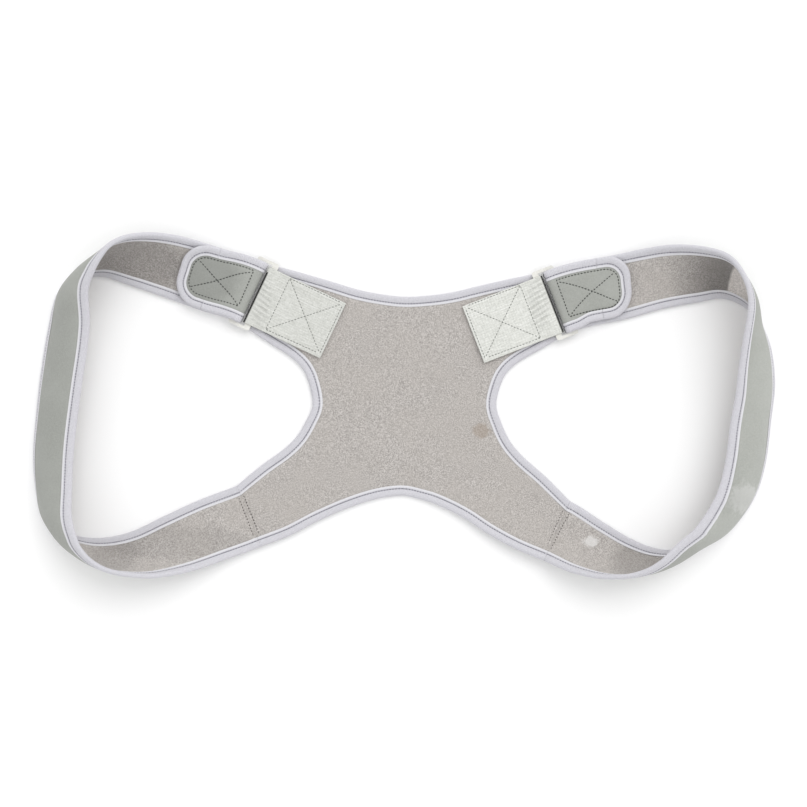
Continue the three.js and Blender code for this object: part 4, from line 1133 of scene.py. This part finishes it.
def panel_laminate(arms, straps):
    """The whole panel as cells between points, then given its thickness."""
    even, _ = laminate_columns(0, 112.0, 1, 1)
    even = (even - even[0]) / (even[-1] - even[0])
    half_waist = PANEL_WAIST / 2 - CUT_INSET
    corners = {
        "neck": np.array([0, NECK_Y - CUT_INSET, TAPE_OUTSIDE]),
        "waist": np.array([0, WAIST_Y + CUT_INSET, TAPE_OUTSIDE]),
        "right": np.array([half_waist, ARMHOLE_Y, TAPE_OUTSIDE]),
        "left": np.array([-half_waist, ARMHOLE_Y, TAPE_OUTSIDE]),
    }
    points, normals, cells, keys = [], [], [], {}

    def index(p, n):
        key = tuple(np.round(p, 3))
        if key not in keys:
            keys[key] = len(points)
            points.append(p)
            normals.append(n)
        return keys[key]

    def add_grid(grid, flip):
        ids = [[index(p, n) for p, n in zip(*row)] for row in grid]
        for a, b in zip(ids, ids[1:]):
            for i in range(len(a) - 1):
                cell = (a[i], b[i], b[i + 1], a[i + 1])
                cells.append(cell[::-1] if flip else cell)

    up = np.tile([0.0, 0.0, 1.0], (len(even), 1))
    for name, surfaces in arms.items():
        sign = SIDES[name]["sign"]
        mirror = np.array([sign, 1, 1])
        for key, end in (("upper", "neck"), ("lower", "waist")):
            at = surfaces[key]
            a, b = corners[name], corners[end]
            grid = [(a + (b - a) * even[:, None], up)]
            for i in range(1, ARM_STEPS + 1):
                t = i / ARM_STEPS
                ends = at(t, np.array([0.0, 1.0]))
                width = float(np.linalg.norm(ends[1] - ends[0]))
                along, across, _ = flat_slopes(at, t, np.array([0.0, 1.0]))
                v, _ = laminate_columns(0, width, *np.linalg.norm(np.cross(along, across), axis=1))
                p = at(t, v / width)
                n = flat_slopes(at, np.full(v.shape, t), v / width)[2]
                if key == "lower":
                    strap, place = straps[name], ("loop", 0.0)
                    skews = [strap.skew(place, length) for length in (0.0, STRAP_WIDTH)]
                    sp, sn = strap.probe(place, laminate_columns(0.0, STRAP_WIDTH, *skews)[0])
                    w = float(ramp((t - 0.75) / 0.25)) ** 2
                    p, n = p * (1 - w) + sp * w, unit(n * (1 - w) + sn * w)
                grid.append((p * mirror, n * mirror))
            add_grid(grid, (key == "lower") != (sign < 0))
    left, neck, right, waist = (corners[k] for k in ("left", "neck", "right", "waist"))
    middle = []
    for s in even:
        low, high = left + (neck - left) * s, waist + (right - waist) * s
        middle.append((low + (high - low) * even[:, None], up))
    add_grid(middle, True)

    points, normals = np.array(points), np.array(normals)
    boundary = panel_boundary(arms)
    d = np.array([np.linalg.norm(boundary - p[:2], axis=1).min() for p in points])
    half = pad_half(d)
    for strap in straps.values():
        ends = strap.at(0, np.array([0.0, STRAP_WIDTH]))[:, :2] * np.array([strap.sign, 1])
        half = half - seam_dip(nearness(points[:, :2], [tuple(ends)]))
    points = points + normals * (panel_relief(points) * ramp((d - 9) / 10))[:, None]
    total = len(points)
    used, faces, kinds = set(), [], []
    for cell in cells:
        faces += [cell, tuple(k + total for k in cell[::-1])]
        kinds += [0, 1]
        used.update(zip(cell, cell[1:] + cell[:1]))
    for a, b in used:
        if (b, a) not in used:
            faces.append((b, a, a + total, b + total))
            kinds.append(1)
    both = np.concatenate([points + normals * half[:, None], points - normals * half[:, None]])
    cloth = np.concatenate([points, points])
    order = sorted(range(len(faces)), key=lambda i: faces[i])
    return make_object("back_panel_pad", placed(both, 1), [faces[i] for i in order], cloth, [LINING, SAGE],
                       [kinds[i] for i in order])


def panel_edge(arms, first, second):
    """Points, normals, inward directions and running lengths along a panel edge, from one arm's end to the
    other's."""
    halves = []
    for (name, key, share), outward in ((first, True), (second, False)):
        at = arms[name][key]
        ts = np.linspace(0, 1, 241)
        shares = np.full(ts.shape, share)
        p = at(ts, shares)
        _, across, n = flat_slopes(at, ts, np.clip(shares, 0.001, 0.999))
        across = across * (1 if share == 0 else -1)
        mirror = np.array([SIDES[name]["sign"], 1, 1])
        p, n, across = p * mirror, n * mirror, across * mirror
        halves.append([x[::-1] if outward else x for x in (p, n, across)])
    p, n, across = (np.concatenate([a, b[1:]]) for a, b in zip(*halves))
    run = running_length(p)
    even = np.linspace(0, run[-1], round(run[-1] / TAPE_STEP))
    p, n, across = (
        np.stack([np.interp(even, run, x[:, k]) for k in range(3)], axis=1) for x in (p, n, across)
    )
    tangent = unit(np.gradient(p, axis=0))
    n = unit(n - tangent * (n * tangent).sum(axis=1, keepdims=True))
    inward = np.cross(n, tangent)
    inward = inward * np.sign((inward * across).sum(axis=1, keepdims=True))
    return p, n, inward, even


def build_panel(arms, straps, firsts):
    laminate = panel_laminate(arms, straps)
    placed_piece(laminate, ["back_panel"])
    edges = {
        "top": (("left", "upper", 1.0), ("right", "upper", 1.0)),
        "bottom": (("left", "lower", 1.0), ("right", "lower", 1.0)),
        "left": (("left", "upper", 0.0), ("left", "lower", 0.0)),
        "right": (("right", "upper", 0.0), ("right", "lower", 0.0)),
    }
    joins = {
        "top": (None, None),
        "bottom": ("left outer", "right outer"),
        "left": (None, "left inner"),
        "right": (None, "right inner"),
    }
    threads = Threads()
    for name, (first, second) in edges.items():
        p, n, inward, run = panel_edge(arms, first, second)
        sections = []
        for i, s in enumerate(run):
            def probe(d):
                return p[i] + inward[i] * d[:, None], np.tile(n[i], (len(d), 1))
            sections.append(tape_section(probe, pucker_at(s)))
        for which, back in zip(joins[name], (True, False)):
            if which:
                side, edge = which.split()
                target = firsts[side][edge] * np.array([SIDES[side]["sign"], 1, 1])
                ordered = sections[::-1] if back else sections
                ordered = blended(ordered, target, 30)
                sections = ordered[::-1] if back else ordered
        tape = tape_mesh(f"panel_{name}_tape", sections, run, 1, TAPE)
        placed_piece(tape, [f"panel_{name}_binding"])
        line = [(p[i] + inward[i] * TAPE_STITCH_AT, n[i]) for i in range(len(run))]
        sew_tape(threads, line, 1)
    placed_piece(threads.build("panel_tape_stitches", TAPE_THREAD))


def seam_stitches(straps):
    """Two rows of stitches beside each seam between the panel and a strap, one on either side of it."""
    threads = Threads()
    for strap in straps.values():
        v = np.linspace(TAPE_WIDTH + 0.8, STRAP_WIDTH - TAPE_WIDTH - 0.8, 40)
        speed = float(np.linalg.norm(strap.at(0.002, STRAP_WIDTH / 2) - strap.at(0, STRAP_WIDTH / 2))) / 0.002
        beyond = strap.probe(("loop", SEAM_ROW / speed), v)[0]
        here, normal = strap.probe(("loop", 0.0), v)
        for row in (beyond, here - unit(beyond - here) * SEAM_ROW):
            for face in (1, -1):
                points = row + normal * 1.05 * face
                threads.run(points, normal * face, strap.sign, pitch=2.6, length=1.6, radius=0.4)
    placed_piece(threads.build("seam_stitches", SEAM_THREAD))


# Webbing and rings

# Seams sewn through the webbing: distance from the ring's middle and length across
WEB_SEAMS = [((21.5, -22.5), (21.5, 23.8)), ((70, -21.5), (70, 24)), ((21.5, 23.8), (70, 24)),
             ((21.5, -22.5), (70, -21.5)), ((21.5, -22.5), (70, 24)), ((21.5, 23.8), (70, -21.5))]

# The webbing's middle line in side view: number of points in the lower ply and in the fold, and its radius
LOWER_PLY, FOLD = 6, 17
WEBBING_RADIUS = 1.9


def webbing_line():
    """Distance from the ring's middle and height, from the lower ply's end to the upper one's."""
    bar = SLOT_LENGTH / 2
    end = bar - WEBBING_FOLD_RADIUS + WEBBING_LENGTH
    lower = [(end, 4.2), (end - 9, 4.2), (41.4, 5.1), (12, 5.1), (8.5, 4.95), (6, 4.45)]
    fold = [(bar - WEBBING_RADIUS * math.sin(a), RING_Z - WEBBING_RADIUS * math.cos(a))
            for a in np.linspace(0, math.pi, FOLD)]
    upper = [(7, RING_Z + 1.9), (10.5, RING_Z + 1.75), (14, RING_Z + 0.85), (17, RING_Z + 0.25), (20, 6.3),
             (41.4, 6.3), (end - 9, 5.42), (end, 5.4)]
    return np.array(lower + fold + upper)


def webbing_sag(x, y):
    """How far the upper ply sinks between its seams."""
    return 0.55 * ramp((21 - np.abs(y)) / 5) * ramp((x - 14) / 8) * ramp((46 - x) / 8)


def build_webbing(name):
    side = SIDES[name]
    centre, inward, across = ring_frame(side)
    knots = webbing_line()
    run = running_length(knots)
    fold_start, fold_end = run[LOWER_PLY - 1], run[LOWER_PLY + FOLD + 3]
    spots = np.concatenate([np.arange(0, fold_start, 1.0), np.arange(fold_start, fold_end, 0.45),
                            np.arange(fold_end, run[-1], 0.9), [run[-1]]])
    line = np.stack([np.interp(spots, run, knots[:, k]) for k in range(2)], axis=1)
    for _ in range(3):
        line[1:-1] = (line[:-2] + 2 * line[1:-1] + line[2:]) / 4
    heading = unit(np.gradient(line, axis=0))
    half_width = WEBBING_WIDTH / 2
    v = np.linspace(-half_width + 1.4, half_width - 1.4, 52)
    v = np.concatenate([[-half_width, -half_width + 0.5], v, [half_width - 0.5, half_width]])
    edge = np.clip((half_width - np.abs(v)) / 0.5, 0, 1)
    upper_ply = spots > run[LOWER_PLY + FOLD // 2]
    sections = []
    for i, (x, z) in enumerate(line):
        flat = np.stack([np.full(len(v), x), v], axis=1)
        seam = np.exp(-((nearness(flat, WEB_SEAMS) / 1.2) ** 2))
        heights = z - webbing_sag(x, v) - (0.16 if upper_ply[i] else -0.06) * seam
        p = centre + inward * x + np.outer(v, across) + np.outer(heights, [0, 0, 1])
        n = inward * heading[i, 1] + np.array([0, 0, -heading[i, 0]])
        end = min(spots[i], run[-1] - spots[i])
        half = WEBBING_HALF * np.sqrt(1 - (1 - edge) ** 2 * 0.75) * (0.75 + 0.25 * float(ramp(end / 1.2)))
        sections.append((p, np.tile(n, (len(v), 1)), half, cloth_places(spots[i], v)))
    piece = sheet_mesh(f"webbing_{name}_strap", sections, side["sign"], [WEBBING, WEBBING])
    placed_piece(piece, [f"webbing_{name}"])
    threads = Threads()
    top = line[upper_ply]
    for a, b in WEB_SEAMS:
        points = []
        for t in np.linspace(0, 1, 50):
            x, y = np.array(a) * (1 - t) + np.array(b) * t
            z = np.interp(x, top[:, 0], top[:, 1]) - webbing_sag(x, y) - 0.16 + 0.5
            points.append(centre + inward * x + across * y + np.array([0, 0, z]))
        up = np.tile([0.0, 0.0, 1.0], (len(points), 1))
        threads.run(points, up, side["sign"], pitch=2.7, length=2.0, radius=0.28)
    stitches = placed_piece(threads.build(f"webbing_{name}_stitches", WEB_THREAD))


def finish_ring(name):
    """The ring keeps its solid and gets rounded edges and its own finish."""
    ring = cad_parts[f"ring_{name}"]
    ring.data.materials.clear()
    ring.data.materials.append(RING)
    weld = ring.modifiers.new("weld", "WELD")
    weld.merge_threshold = 1e-5
    bevel = ring.modifiers.new("rounding", "BEVEL")
    bevel.width = 0.0006
    bevel.segments = 3
    bevel.limit_method = "ANGLE"
    bevel.angle_limit = math.radians(35)


def studio():
    """A white table in a bright room, with a broad lamp above."""
    bpy.context.scene.view_settings.view_transform = "Standard"
    bpy.ops.mesh.primitive_plane_add(size=6, location=(0, 0, 0))
    floor = bpy.context.object
    floor.name = "floor"
    look = Look("white_table", 0.9)
    tint = look.noise(look.place(), 0.004, 1)
    look.colour = look.mix(tint, (0.93, 0.93, 0.93, 1), (0.95, 0.95, 0.95, 1))
    look.relief(tint, 0.01)
    floor.data.materials.append(look.finish())
    world = bpy.data.worlds.new("soft_room")
    world.use_nodes = True
    world.node_tree.nodes["Background"].inputs[0].default_value = (1, 1, 1, 1)
    world.node_tree.nodes["Background"].inputs[1].default_value = 0.97
    bpy.context.scene.world = world
    sun = bpy.data.lights.new("key", "SUN")
    sun.energy = 1.0
    sun.angle = math.radians(50)
    lamp = bpy.data.objects.new("key", sun)
    lamp.rotation_euler = (math.radians(-38), math.radians(24), 0)
    bpy.context.scene.collection.objects.link(lamp)


def camera():
    """Straight down at the table, as the photograph shows it."""
    data = bpy.data.cameras.new("view")
    data.sensor_width = 36
    data.lens = 70.3
    eye = bpy.data.objects.new("view", data)
    eye.location = ((SHIFT[0] - 0.66) / 1000, (SHIFT[1] + 0.41) / 1000, 1.3)
    bpy.context.scene.collection.objects.link(eye)
    bpy.context.scene.camera = eye


camera()
studio()
built = {name: build_strap(name) for name in ("left", "right")}
straps = {name: strap for name, (strap, _) in built.items()}
firsts = {name: first for name, (_, first) in built.items()}
arms = {name: arm_surfaces(name) for name in ("left", "right")}
build_panel(arms, straps, firsts)
seam_stitches(straps)
for name in ("left", "right"):
    build_webbing(name)
    finish_ring(name)
